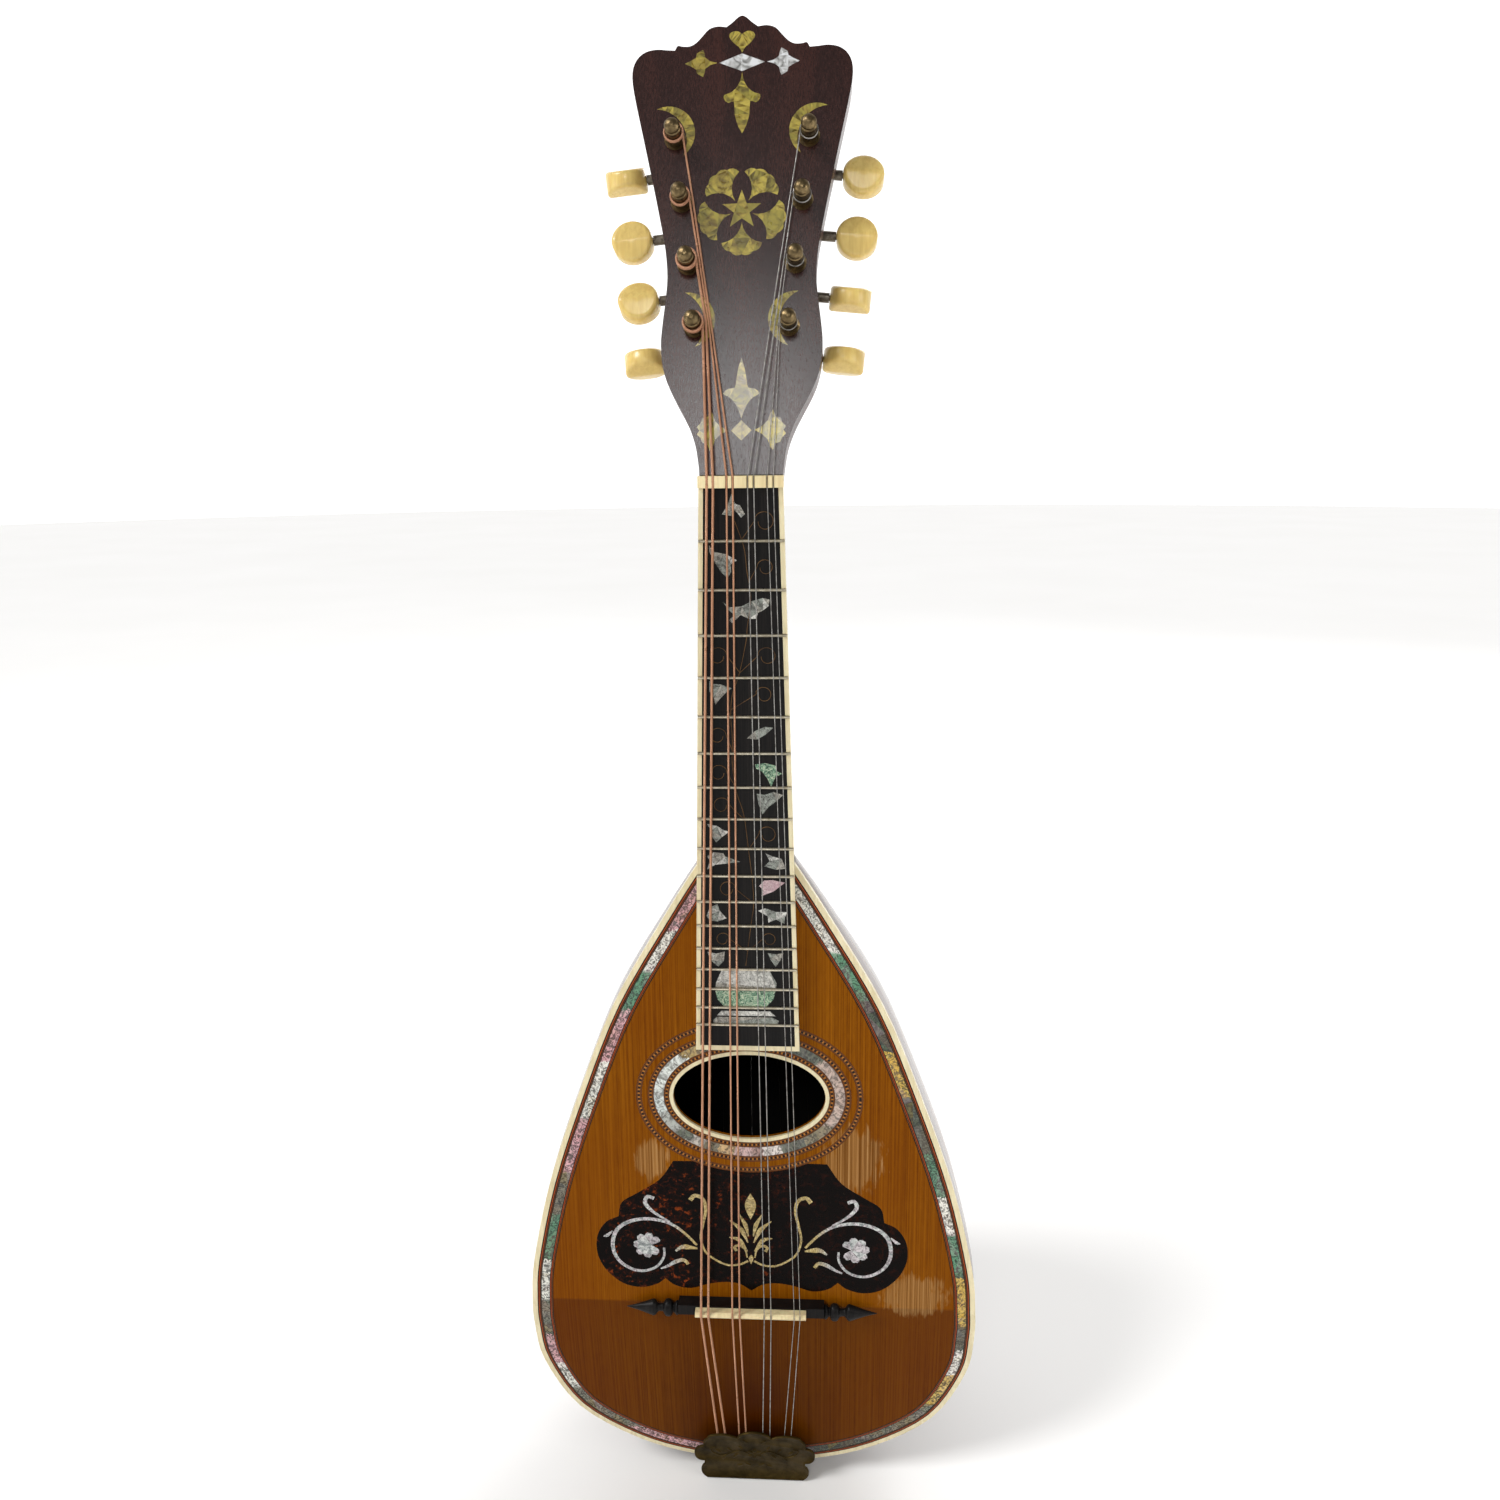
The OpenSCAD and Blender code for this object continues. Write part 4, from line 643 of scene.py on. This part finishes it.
STEPS = 3                 # strips across one stave
LOOP = 2 * STEPS + 2      # points round one section of a stave
SAMPLE_RUN = 6.0          # grain length given to each edge sample
CLASP_FIRST = 78          # edge sample where the clasp begins
STAVE_GAP = 0.01          # degrees left free at each side of a stave
BOWL_SHARP = math.radians(35)


def shell(samples, a0, a1, steps, outer, inner, stave=0):
    """Rows of points and uvs of one curved strip with two skins; each row goes round both skins."""
    rows, uvs = [], []
    for i in samples:
        loop = [bowl_pt(i, a0 + (a1 - a0) * k / steps, outer) for k in range(steps + 1)]
        loop += [bowl_pt(i, a0 + (a1 - a0) * k / steps, inner) for k in range(steps, -1, -1)]
        rows.append(loop)
        run = i * SAMPLE_RUN
        uvs += [(stave + k / steps, run) for k in range(steps + 1)]
        uvs += [(stave + k / steps, run) for k in range(steps, -1, -1)]
    return rows, uvs


def build_bowl():
    verts, faces, uvs = [], [], []
    sweep = (180 + 2 * RIM_ANGLE) / RIB_COUNT
    samples = range(0, EDGE_LAST - 2)
    for s in range(RIB_COUNT):
        rows, strip_uv = shell(samples, sweep * s - RIM_ANGLE + STAVE_GAP,
                               sweep * (s + 1) - RIM_ANGLE - STAVE_GAP, STEPS, 0, RIB_T, s)
        n, first = len(rows[0]), len(verts)
        faces += grid(rows, closed=True, first=first)
        faces.append(tuple(first + k for k in range(n)))
        faces.append(tuple(first + (len(rows) - 1) * n + k for k in reversed(range(n))))
        verts += [p for r in rows for p in r]
        uvs += strip_uv
    obj = mesh("bowl_staves", verts, faces, uvs)
    obj.data.set_sharp_from_angle(angle=BOWL_SHARP)
    piece(obj, "body", "bowl_wood", STAVES, "bowl_ribs")
    # Faces of the inner skin take the painted inside shade.
    obj.data.materials.append(INSIDE_SHADE.mat)
    for face in obj.data.polygons:
        if len(face.vertices) == 4 and all(v % LOOP > STEPS for v in face.vertices):
            face.material_index = 1

    rows, _ = shell(range(CLASP_FIRST, EDGE_LAST - 1), -RIM_ANGLE, 180 + RIM_ANGLE,
                    STEPS * RIB_COUNT, -0.5, -0.03)
    obj = sections("bowl_clasp_cap", rows)
    obj.data.set_sharp_from_angle(angle=BOWL_SHARP)
    piece(obj, "body", "bowl_wood", MAT["bowl_wood"], "bowl_clasp")


# ---- lines in the soundboard ------------------------------------------------

def edge_line(name, d0, d1):
    """Strip along the whole edge between two insets; uv runs along and across it."""
    verts, faces, uvs = [], [], []
    upper_part, lower_part = range(EDGE_FOLD + 1), range(EDGE_FOLD, EDGE_LAST + 1)
    for flip in (1, -1):
        for lower, span in ((False, upper_part), (True, lower_part)):
            first, run, last = len(verts), 0.0, None
            for i in span:
                a, b = EDGE[i] + edge_in(i) * d0, EDGE[i] + edge_in(i) * d1
                run += (a - last).length if last else 0
                last = a
                for p, z, v in ((a, -INLAY_T, 0), (a, 0, 0), (b, 0, 1), (b, -INLAY_T, 1)):
                    verts.append(board_pt((flip * p.x, p.y), z, lower))
                    uvs.append((run, v))
            rows = [verts[first + 4 * r:first + 4 * r + 4] for r in range(len(span))]
            made = grid(rows, closed=True, first=first)
            end = first + 4 * (len(span) - 1)
            made += [(first + 3, first + 2, first + 1, first), (end, end + 1, end + 2, end + 3)]
            faces += made if flip > 0 else [tuple(reversed(f)) for f in made]
    return mesh(name, verts, faces, uvs, flat=True)


def build_edge_lines():
    outer = edge_line("edge_line_outer", *OUTER_LINE)
    piece(outer, "body", "purfling", EDGE_LINES, "edge_purfling")
    inner = edge_line("edge_line_inner", *INNER_LINE)
    piece(inner, "body", "purfling", INNER_LINES, "edge_purfling")


def ring_pt(d, a):
    square = Vector((math.cos(a) / HOLE_A, math.sin(a) / HOLE_B)).normalized()
    return Vector((HOLE_A * math.cos(a), HOLE_B * math.sin(a) + HOLE_Y)) + square * d


def build_rosette():
    n, inner_gap, outer_gap = 240, 0.01, 0.06
    for index, (d0, d1) in enumerate(ROPE_RINGS):
        rows, uvs, run = [], [], 0.0
        for k in range(n + 1):
            a, before = 2 * math.pi * k / n, 2 * math.pi * (k - 1) / n
            p, q = ring_pt(d0 + inner_gap, a), ring_pt(d1 - outer_gap, a)
            middle = (d0 + d1) / 2
            run += (ring_pt(middle, a) - ring_pt(middle, before)).length if k else 0
            rows.append([Vector((*p, -INLAY_T)), Vector((*p, 0)), Vector((*q, 0)),
                         Vector((*q, -INLAY_T))])
            uvs += [(run, 0), (run, 0), (run, 1), (run, 1)]
        faces = [tuple(reversed(f)) for f in grid(rows, closed=True)]
        points = [p for r in rows for p in r]
        obj = mesh(f"rosette_rope_{index + 1}", points, faces, uvs, flat=True)
        piece(obj, "body", "purfling", ROPE, "rosette_rings")


# ---- strings ----------------------------------------------------------------

NUT_X = (-11.9, -9.7, -4.9, -2.7, 2.5, 4.7, 9.4, 11.6)
SADDLE_X = (-20.4, -17.4, -7.4, -4.4, 5.8, 8.6, 18.2, 20.6)
TAIL_X = (-15.8, -12.4, -6.6, -3.6, 3.4, 6.6, 12.6, 15.6)
STRING_R = (0.5, 0.5, 0.37, 0.37, 0.2, 0.2, 0.16, 0.16)
STRING_POST = (("left", 4), ("left", 3), ("left", 2), ("left", 1),
               ("right", 1), ("right", 2), ("right", 3), ("right", 4))
COURSES = ("g", "d", "a", "e")
COIL_Z, COIL_TURNS = 4.2, 2.25


def flat_post(k):
    """Post place on the right side in the head's frame."""
    a = math.pi / 2 + ROW_LEAN
    s = POST_PITCH * (4 - k)
    return Vector((ROW_X - s * math.cos(a), ROW_S + s * math.sin(a)))


def lane(k, j, radii):
    """How far out a string to post k may run beside post j."""
    if k == j:
        return flat_post(j).x - POST_R - radii[k] - 0.12
    return lane(k + 1, j, radii) - radii[k + 1] - radii[k] - 0.08


def string_path(i):
    side, k = STRING_POST[i]
    flip = -1 if side == "left" else 1
    r = STRING_R[i]
    radii = (0,) + (tuple(reversed(STRING_R[:4])) if side == "left" else STRING_R[4:])
    path = [fold((TAIL_X[i], HOOK_Y + 0.7 + r + 0.05, 2.6)),
            Vector((SADDLE_X[i], BRIDGE_Y + BEAM_T / 2 - 1.9, SADDLE_H + r - 0.3)),
            Vector((NUT_X[i], 1.2, NUT_H + r - 0.42)), Vector((NUT_X[i], 4, NUT_H + r - 0.45))]
    start, goal, to = abs(NUT_X[i]), flat_post(k).y, lane(k, k, radii)
    for j in range(4, k, -1):
        y = flat_post(j).y
        x = min(start + (to - start) * y / goal, lane(k, j, radii))
        path.append(head((flip * x, y, COIL_Z - 0.3 + 0.2 * y / goal)))
    c, reach, n = flat_post(k), POST_R + r + 0.12, 28
    for m in range(int(COIL_TURNS * n) + 1):
        a = math.radians(-12 + 360 * m / n)
        path.append(head((flip * c.x - flip * reach * math.cos(a), c.y + reach * math.sin(a),
                          COIL_Z + (2 * r + 0.05) * m / n)))
    return path


def build_strings():
    for i in range(8):
        rows, uvs = tube(string_path(i), STRING_R[i], 12)
        course = COURSES[i // 2]
        wound = i < 4
        obj = sections(f"string_{course}_{i % 2 + 1}", rows, uvs=uvs)
        slot = "bronze_string" if wound else "steel_string"
        piece(obj, "body", slot, MAT[slot], f"strings_{course}")


# ---- knobs ------------------------------------------------------------------

def build_knobs():
    rings, spokes, soft, flat = 9, 48, 1.1, 0.74
    half_t, slope, blunt = 4.45, 2.2 / 8, 0.3
    for side, turns in KNOB_TURNS.items():
        for k in range(1, 5):
            turn = math.radians(turns[k - 1])
            rows = []
            for face in (1, -1):
                levels = []
                for m in range(rings + 1):
                    share = m / rings
                    rad, drop = (KNOB_R - soft) * min(1, share * 1.35), 0.0
                    if share >= flat:
                        b = (share - flat) / 0.26 * math.pi / 2
                        rad = KNOB_R - soft + soft * math.sin(b)
                        drop = soft * (1 - math.cos(b))
                    levels.append((rad, drop))
                if face < 0:
                    levels.reverse()
                for rad, drop in levels:
                    loop = []
                    for s in range(spokes):
                        a = 2 * math.pi * s / spokes
                        x, y = rad * math.cos(a), rad * math.sin(a)
                        ridge = math.sqrt(x * x + blunt) - math.sqrt(blunt)
                        z = face * (half_t - slope * ridge - drop)
                        loop.append((x * math.cos(turn) + z * math.sin(turn), y,
                                     -x * math.sin(turn) + z * math.cos(turn)))
                    rows.append(loop)
            rows = rows[1:-1]
            rows = [[post_frame(side, k, (p[0] - WORM_C, p[1] + KNOB_OUT, p[2] + GEAR_W))
                     for p in loop] for loop in rows]
            obj = sections(f"knob_{side}_{k}_bone", rows)
            obj.data.set_sharp_from_angle(angle=math.radians(60))
            piece(obj, f"tuner_{side}_{k}", "knob_bone", MAT["knob_bone"], f"knob_{side}_{k}")


# ---- neck -------------------------------------------------------------------

def board_half(y):
    return (BOARD_W_NUT + (BOARD_W_END - BOARD_W_NUT) * -y / BOARD_LEN) / 2


def build_neck():
    depth = ((-141.4, 29.2), (-136, 26.4), (-128, 21.6), (-118, 19), (-100, 17.8), (-60, 16.8),
             (-25, 16), (-10, 14.8), (-3, 13))
    run = smooth([(y, d) for y, d in depth], 5)
    rows = []
    for y, d in run:
        rows.append([Vector((board_half(y) * math.cos(a), y, -d * math.sin(a) ** 0.8))
                     for a in (math.pi * k / 40 for k in range(41))])
    y, d = HEAD_FOOT.y - 0.35, HEAD_T - 0.2
    rows.append([Vector((board_half(y) * math.cos(a),
                         y - d * math.sin(a) ** 0.8 * math.sin(HEAD_TILT),
                         -d * math.sin(a) ** 0.8 * math.cos(HEAD_TILT)))
                 for a in (math.pi * k / 40 for k in range(41))])
    obj = sections("neck_shaft", rows)
    obj.data.set_sharp_from_angle(angle=math.radians(40))
    piece(obj, "body", "neck_wood", MAT["neck_wood"], "neck")


# ---- vine on the fingerboard ------------------------------------------------

STEM = ((-0.3, -181.5), (1, -171.3), (2.2, -162.4), (3, -156.2), (2.6, -146.5), (1.3, -134.4),
        (-0.3, -120.7), (-3, -111.3), (-4.4, -100.4), (-4.2, -92.1), (-4.7, -82.4), (-4, -74.4),
        (-1.3, -66.4), (1.3, -54.5), (1.8, -49.5), (3.2, -38.4), (1.9, -29.5), (0.9, -20.8),
        (-2.3, -11.5))
CURLS = ((8.4, -11.7, 3.8), (8.5, -28, 3.1), (-9.1, -60.1, 3.5), (8.9, -60.2, 3.6),
         (7.6, -74.5, 3.2), (-9.7, -90, 3.3), (-9.6, -104.2, 3.3), (-8.8, -116.8, 3.3),
         (8.6, -128.3, 3.5),
         (-7, -150.1, 3.3), (-9.1, -170.6, 2.8), (8.9, -170.6, 2.8))


def stem_x(y):
    for (x0, y0), (x1, y1) in zip(STEM, STEM[1:]):
        if y0 <= y <= y1:
            return x0 + (x1 - x0) * (y - y0) / (y1 - y0)
    return STEM[-1][0]


def build_vine():
    paths = [[Vector((*p, BOARD_T)) for p in smooth(STEM, 6)]]
    for x, y, r in CURLS:
        side = 1 if x > 0 else -1
        foot = (stem_x(y - 1.7 * r), y - 1.7 * r)
        turn = [(x - side * r * (1 - 0.0011 * a) * math.cos(math.radians(a)),
                 y + r * (1 - 0.0011 * a) * math.sin(math.radians(a))) for a in range(0, 361, 20)]
        paths.append([Vector((*p, BOARD_T)) for p in smooth([foot] + turn, 2)])
    verts, faces = [], []
    for path in paths:
        rows, _ = tube(path, 0.14, 6)
        faces += grid(rows, closed=True, first=len(verts))
        verts += [p for r in rows for p in r]
    obj = mesh("fingerboard_vine", verts, faces)
    tidy_normals(obj)
    piece(obj, "body", "purfling", VINE.mat)


# ---- bridge -----------------------------------------------------------------

def build_bridge():
    """Beam with a saddle slot, and turned ends drawn out to arrow tips."""
    back, front = BRIDGE_Y - BEAM_T / 2, BRIDGE_Y + BEAM_T / 2
    slot_0, slot_1 = front - 3.3, front - 0.7
    outline = [(back, 0.02), (front, 0.02), (front, BEAM_H), (slot_1, BEAM_H),
               (slot_1, BEAM_H - 2.5), (slot_0, BEAM_H - 2.5), (slot_0, BEAM_H),
               (slot_0 - 1.1, BEAM_H), (back, 2.4)]
    plain = [(y, z) for y, z in outline[:3]] + [(slot_1, BEAM_H), (slot_1, BEAM_H - 0.01),
             (slot_0, BEAM_H - 0.01), (slot_0, BEAM_H), (slot_0 - 1.1, BEAM_H), (back, 2.4)]
    rows = [[Vector((x, y, z)) for y, z in shape] for x, shape in
            ((-BEAM_HALF, plain), (-23.05, plain), (-23.04, outline), (23.04, outline),
             (23.05, plain), (BEAM_HALF, plain))]
    beam = sections("bridge_beam", rows, flat=True)
    bevel(beam, 0.5, 3, 50)
    piece(beam, "body", "ebony", MAT["ebony"], "bridge")
    profile = ((0, 2.2), (0.8, 2.5), (1.6, 1.9), (2.3, 1.5), (2.9, 2.5), (3.6, 2.9), (5, 2.9),
               (5.8, 2.5), (6.6, 1.5), (7.4, 1.3), (8.6, 1.4), (9.6, 2.4), (10.4, 2.75),
               (11.4, 2.6), (14, 1.9), (17, 1.1), (20, 0.5), (22, 0.08))
    for side in (-1, 1):
        rows = []
        for run, r in smooth(profile, 3):
            r = max(r, 0.05)
            rows.append([Vector((side * (BEAM_HALF + run), BRIDGE_Y + 1.3 * r * math.cos(a),
                                 2.95 + r * math.sin(a)))
                         for a in (2 * math.pi * k / 24 for k in range(24))])
        end = sections("bridge_end_" + ("left" if side < 0 else "right"), rows)
        piece(end, "body", "ebony", MAT["ebony"], "bridge")


# ---- tailpiece cover --------------------------------------------------------

def swell(p, q, rise, n=8):
    """Arc from p to q that swells to the left of its way."""
    p, q = Vector(p), Vector(q)
    chord = q - p
    half = chord.length / 2
    side = Vector((-chord.y, chord.x)).normalized()
    r = (half * half + rise * rise) / (2 * rise)
    mid = (p + q) / 2 + side * (rise - r)
    a0 = math.atan2(p.y - mid.y, p.x - mid.x)
    a1 = math.atan2(q.y - mid.y, q.x - mid.x)
    turn = (a1 - a0) % (2 * math.pi) - 2 * math.pi
    return [mid + abs(r) * Vector((math.cos(a0 + turn * k / n), math.sin(a0 + turn * k / n)))
            for k in range(n + 1)]


def dome(at, long, wide, high, angle, n=14, rings=4):
    """Low oval boss: rows of points from its rim to its top."""
    rows = []
    for m in range(rings + 1):
        b = math.pi / 2 * m / rings
        loop = []
        for k in range(n):
            a = 2 * math.pi * k / n
            x, y = long * math.cos(a) * math.cos(b), wide * math.sin(a) * math.cos(b)
            loop.append(Vector((at[0] + x * math.cos(angle) - y * math.sin(angle),
                                at[1] + x * math.sin(angle) + y * math.cos(angle),
                                at[2] + high * math.sin(b))))
        rows.append(loop)
    return rows


def build_cover():
    half = (swell((0, -406.2), (6.6, -408.2), 0.5) + swell((7.6, -409.8), (20.4, -409.4), 1.6)
            + swell((20.8, -410.6), (22.6, -415.4), 0.8)
            + swell((22.6, -415.4), (26.6, -420.6), 1.6)[1:]
            + swell((26.6, -420.6), (22.4, -424.4), 1.4)[1:]
            + swell((22.4, -426.4), (21.4, COVER_END), 2.1))
    outline = half + [Vector((-p.x, p.y)) for p in reversed(half) if p.x > 0.001]
    n = len(outline)

    def inner(d):
        out = []
        for i, p in enumerate(outline):
            t = (outline[(i + 1) % n] - outline[i - 1]).normalized()
            out.append(p + d * Vector((t.y, -t.x)))
        return out
    top = COVER_RISE + COVER_T
    levels = ((0.0, COVER_RISE), (0.0, top - 0.2), (0.15, top - 0.03), (0.4, top),
              (0.7, top - 0.04), (0.95, top - 0.32))
    rows = [[fold((p.x, p.y, z)) for p in inner(d)] for d, z in levels]
    plate = sections("tail_cover_plate", rows)
    plate.data.set_sharp_from_angle(angle=math.radians(50))
    piece(plate, "tail_cover", "tail_metal", MAT["tail_metal"], "tailpiece_cover")

    lip_half, lip_low = 21.4, -9
    lip = [(-lip_half, lip_low), (lip_half, lip_low), (lip_half, COVER_RISE),
           (-lip_half, COVER_RISE)]
    rows = [[fold((x, y, z)) for x, z in lip] for y in (COVER_END, COVER_END + COVER_T)]
    lip = sections("tail_cover_lip", rows, flat=True)
    bevel(lip, 0.4, 3, 40)
    piece(lip, "tail_cover", "tail_metal", MAT["tail_metal"], "tailpiece_cover")

    verts, faces = [], []
    base, cy = top - 0.34, -419.5

    def add(rows):
        rows = [[fold(p) for p in loop] for loop in rows]
        faces.extend(grid(rows, closed=True, first=len(verts)))
        verts.extend(p for loop in rows for p in loop)
    for k in range(6):
        a = math.radians(60 * k + 30)
        add(dome((1.9 * math.cos(a), cy + 1.9 * math.sin(a), base), 1.5, 0.95, 0.3, a))
    add(dome((0, cy, base), 0.8, 0.8, 0.34, 0))
    for side in (-1, 1):
        stem = smooth([(side * 2.6, cy), (side * 6, cy + 1.8), (side * 10, cy + 0.4),
                       (side * 14, cy - 1.6), (side * 18, cy - 0.2), (side * 19.4, cy + 2.6),
                       (side * 17.2, cy + 3.4)], 5)
        rows, _ = tube([Vector((*p, base)) for p in stem], 0.24, 8)
        add(rows)
        for i, (at, lean) in enumerate(((6, 60), (8.5, -50), (11, 50), (13.5, -60), (16, 40))):
            y = cy + 1.2 - 0.22 * (at - 6) + (2.1 if i % 2 == 0 else -2.1)
            add(dome((side * at, y, base), 1.7, 0.7, 0.26, math.radians(lean) * side, 12))
        add(dome((side * 6.5, cy - 7.2, base), 1.6, 0.7, 0.26, math.radians(-20) * side, 12))
        add(dome((side * 3, cy - 6.6, base), 1.6, 0.7, 0.26, math.radians(30) * side, 12))
        add(dome((side * 4, cy + 7.6, base), 1.7, 0.7, 0.26, math.radians(40) * side, 12))
    relief = mesh("tail_cover_relief", verts, faces)
    tidy_normals(relief)
    piece(relief, "tail_cover", "tail_metal", MAT["tail_metal"])


build_bowl()
build_vine()
build_bridge()
build_cover()
build_edge_lines()
build_rosette()
build_strings()
build_knobs()
build_neck()


# ---- CAD nodes that stay ----------------------------------------------------

SHOWN = {
    "spruce": ("soundboard",),
    "inner_wood": ("neck_block", "tail_block", "rim_linings", "soundboard_braces"),
    "neck_wood": ("headstock",),
    "rosewood": ("headstock_veneer",),
    "ebony": ("fingerboard",),
    "bone": ("nut", "saddle"),
    "ivory_binding": ("fingerboard_binding", "soundhole_binding", "body_binding"),
    "fret_metal": ("frets",),
    "gold_pearl": ("headstock_inlays",),
    "white_pearl": ("fingerboard_inlays",),
    "guard_pearl": ("pickguard_inlays",),
    "abalone": ("edge_pearl",),
    "rosette_shell": ("rosette_pearl",),
    "tortoiseshell": ("pickguard",),
    "tuner_brass": ("tuner_plates", "tuner_screws", "post_bushings"),
    "tail_metal": ("tailpiece", "tailpiece_screws"),
}
for side in ("left", "right"):
    for k in range(1, 5):
        SHOWN["tuner_brass"] += (f"post_{side}_{k}",)
SHOWN["worm_steel"] = tuple(f"worm_{s}_{k}" for s in ("left", "right") for k in range(1, 5))

for material, names in SHOWN.items():
    for name in names:
        data = NODES[name].data
        data.materials.clear()
        data.materials.append(MAT[material])


# ---- stage ------------------------------------------------------------------

FLOOR_R, FLOOR_GAP = 9.0, 0.0005
WORLD_STRENGTH = 1.35
WORLD_STOPS = ((0.0, 0.14), (0.45, 1.0))     # Y of the direction seen, grey
LIGHTS = (                                   # name, kind, at, aim, power, size
    ("sun", "SUN", (-2.2, -1.5, 2.6), (0, 0, 0), 1.9, math.radians(20)),
    ("head_sheen", "AREA", (-0.1, -1.45, 0.72), (0, 0, 0), 3.4, 0.36),
    ("right_fill", "AREA", (2.0, -1.2, 0.4), (0, 0, -0.15), 12, 1.2),
    ("left_fill", "AREA", (-2.0, -1.0, 0.0), (0, 0, -0.2), 8, 1.2),
    ("rear", "AREA", (0.9, 1.7, 1.0), (0, 0, -0.2), 16, 1.0),
)


def build_stage():
    bm = bmesh.new()
    bmesh.ops.create_circle(bm, cap_ends=True, radius=FLOOR_R, segments=64)
    data = bpy.data.meshes.new("floor")
    bm.to_mesh(data)
    bm.free()
    floor = bpy.data.objects.new("floor", data)
    floor.location.z = CAD_BOX[0][2] - FLOOR_GAP
    bpy.context.collection.objects.link(floor)
    look = Look("floor_paper")
    soft = look.noise(look.place(), 0.002, 3)
    look.finish(look.mix(soft, srgb(242, 241, 239), srgb(248, 247, 246)), 0.9)
    floor.data.materials.append(look.mat)

    world = bpy.data.worlds.new("studio")
    bpy.context.scene.world = world
    world.use_nodes = True
    tree = world.node_tree
    back = tree.nodes["Background"]
    co = tree.nodes.new("ShaderNodeTexCoord")
    split = tree.nodes.new("ShaderNodeSeparateXYZ")
    ramp = tree.nodes.new("ShaderNodeValToRGB")
    tree.links.new(co.outputs["Generated"], split.inputs[0])
    tree.links.new(split.outputs[1], ramp.inputs[0])
    tree.links.new(ramp.outputs[0], back.inputs["Color"])
    back.inputs["Strength"].default_value = WORLD_STRENGTH
    for stop, (at, grey) in zip(ramp.color_ramp.elements, WORLD_STOPS):
        stop.position, stop.color = at, (grey, grey, grey, 1)

    for name, kind, at, aim, power, size in LIGHTS:
        lamp = bpy.data.lights.new(name, kind)
        lamp.energy = power
        if kind == "AREA":
            lamp.shape, lamp.size = "DISK", size
        else:
            lamp.angle = size
        obj = bpy.data.objects.new(name, lamp)
        obj.location = at
        obj.rotation_mode = "QUATERNION"
        obj.rotation_quaternion = (Vector(aim) - Vector(at)).to_track_quat("-Z", "Y")
        bpy.context.collection.objects.link(obj)


CAMERA_AT = (29.8, 15.2, 455.1)
CAMERA_ROLL, CAMERA_PITCH, CAMERA_YAW = (math.radians(a) for a in (0.65, 13.77, -3.5))


def build_camera():
    """Short lens close to the neck, looking down the strings towards the body."""
    turn = (Matrix.Rotation(CAMERA_ROLL, 3, "Z") @ Matrix.Rotation(CAMERA_PITCH, 3, "X")
            @ Matrix.Rotation(CAMERA_YAW, 3, "Y"))
    stand = Matrix(((1, 0, 0), (0, 0, -1), (0, 1, 0)))
    lens = bpy.data.cameras.new("camera")
    lens.lens, lens.sensor_width = 30, 36
    lens.clip_start, lens.clip_end = 0.01, 50
    camera = bpy.data.objects.new("camera", lens)
    camera.matrix_world = (stand @ turn.transposed()).to_4x4()
    camera.location = row(CAMERA_AT)
    bpy.context.collection.objects.link(camera)
    bpy.context.scene.camera = camera


build_stage()
build_camera()
bpy.context.scene.view_settings.view_transform = "Standard"

bpy.context.view_layer.update()
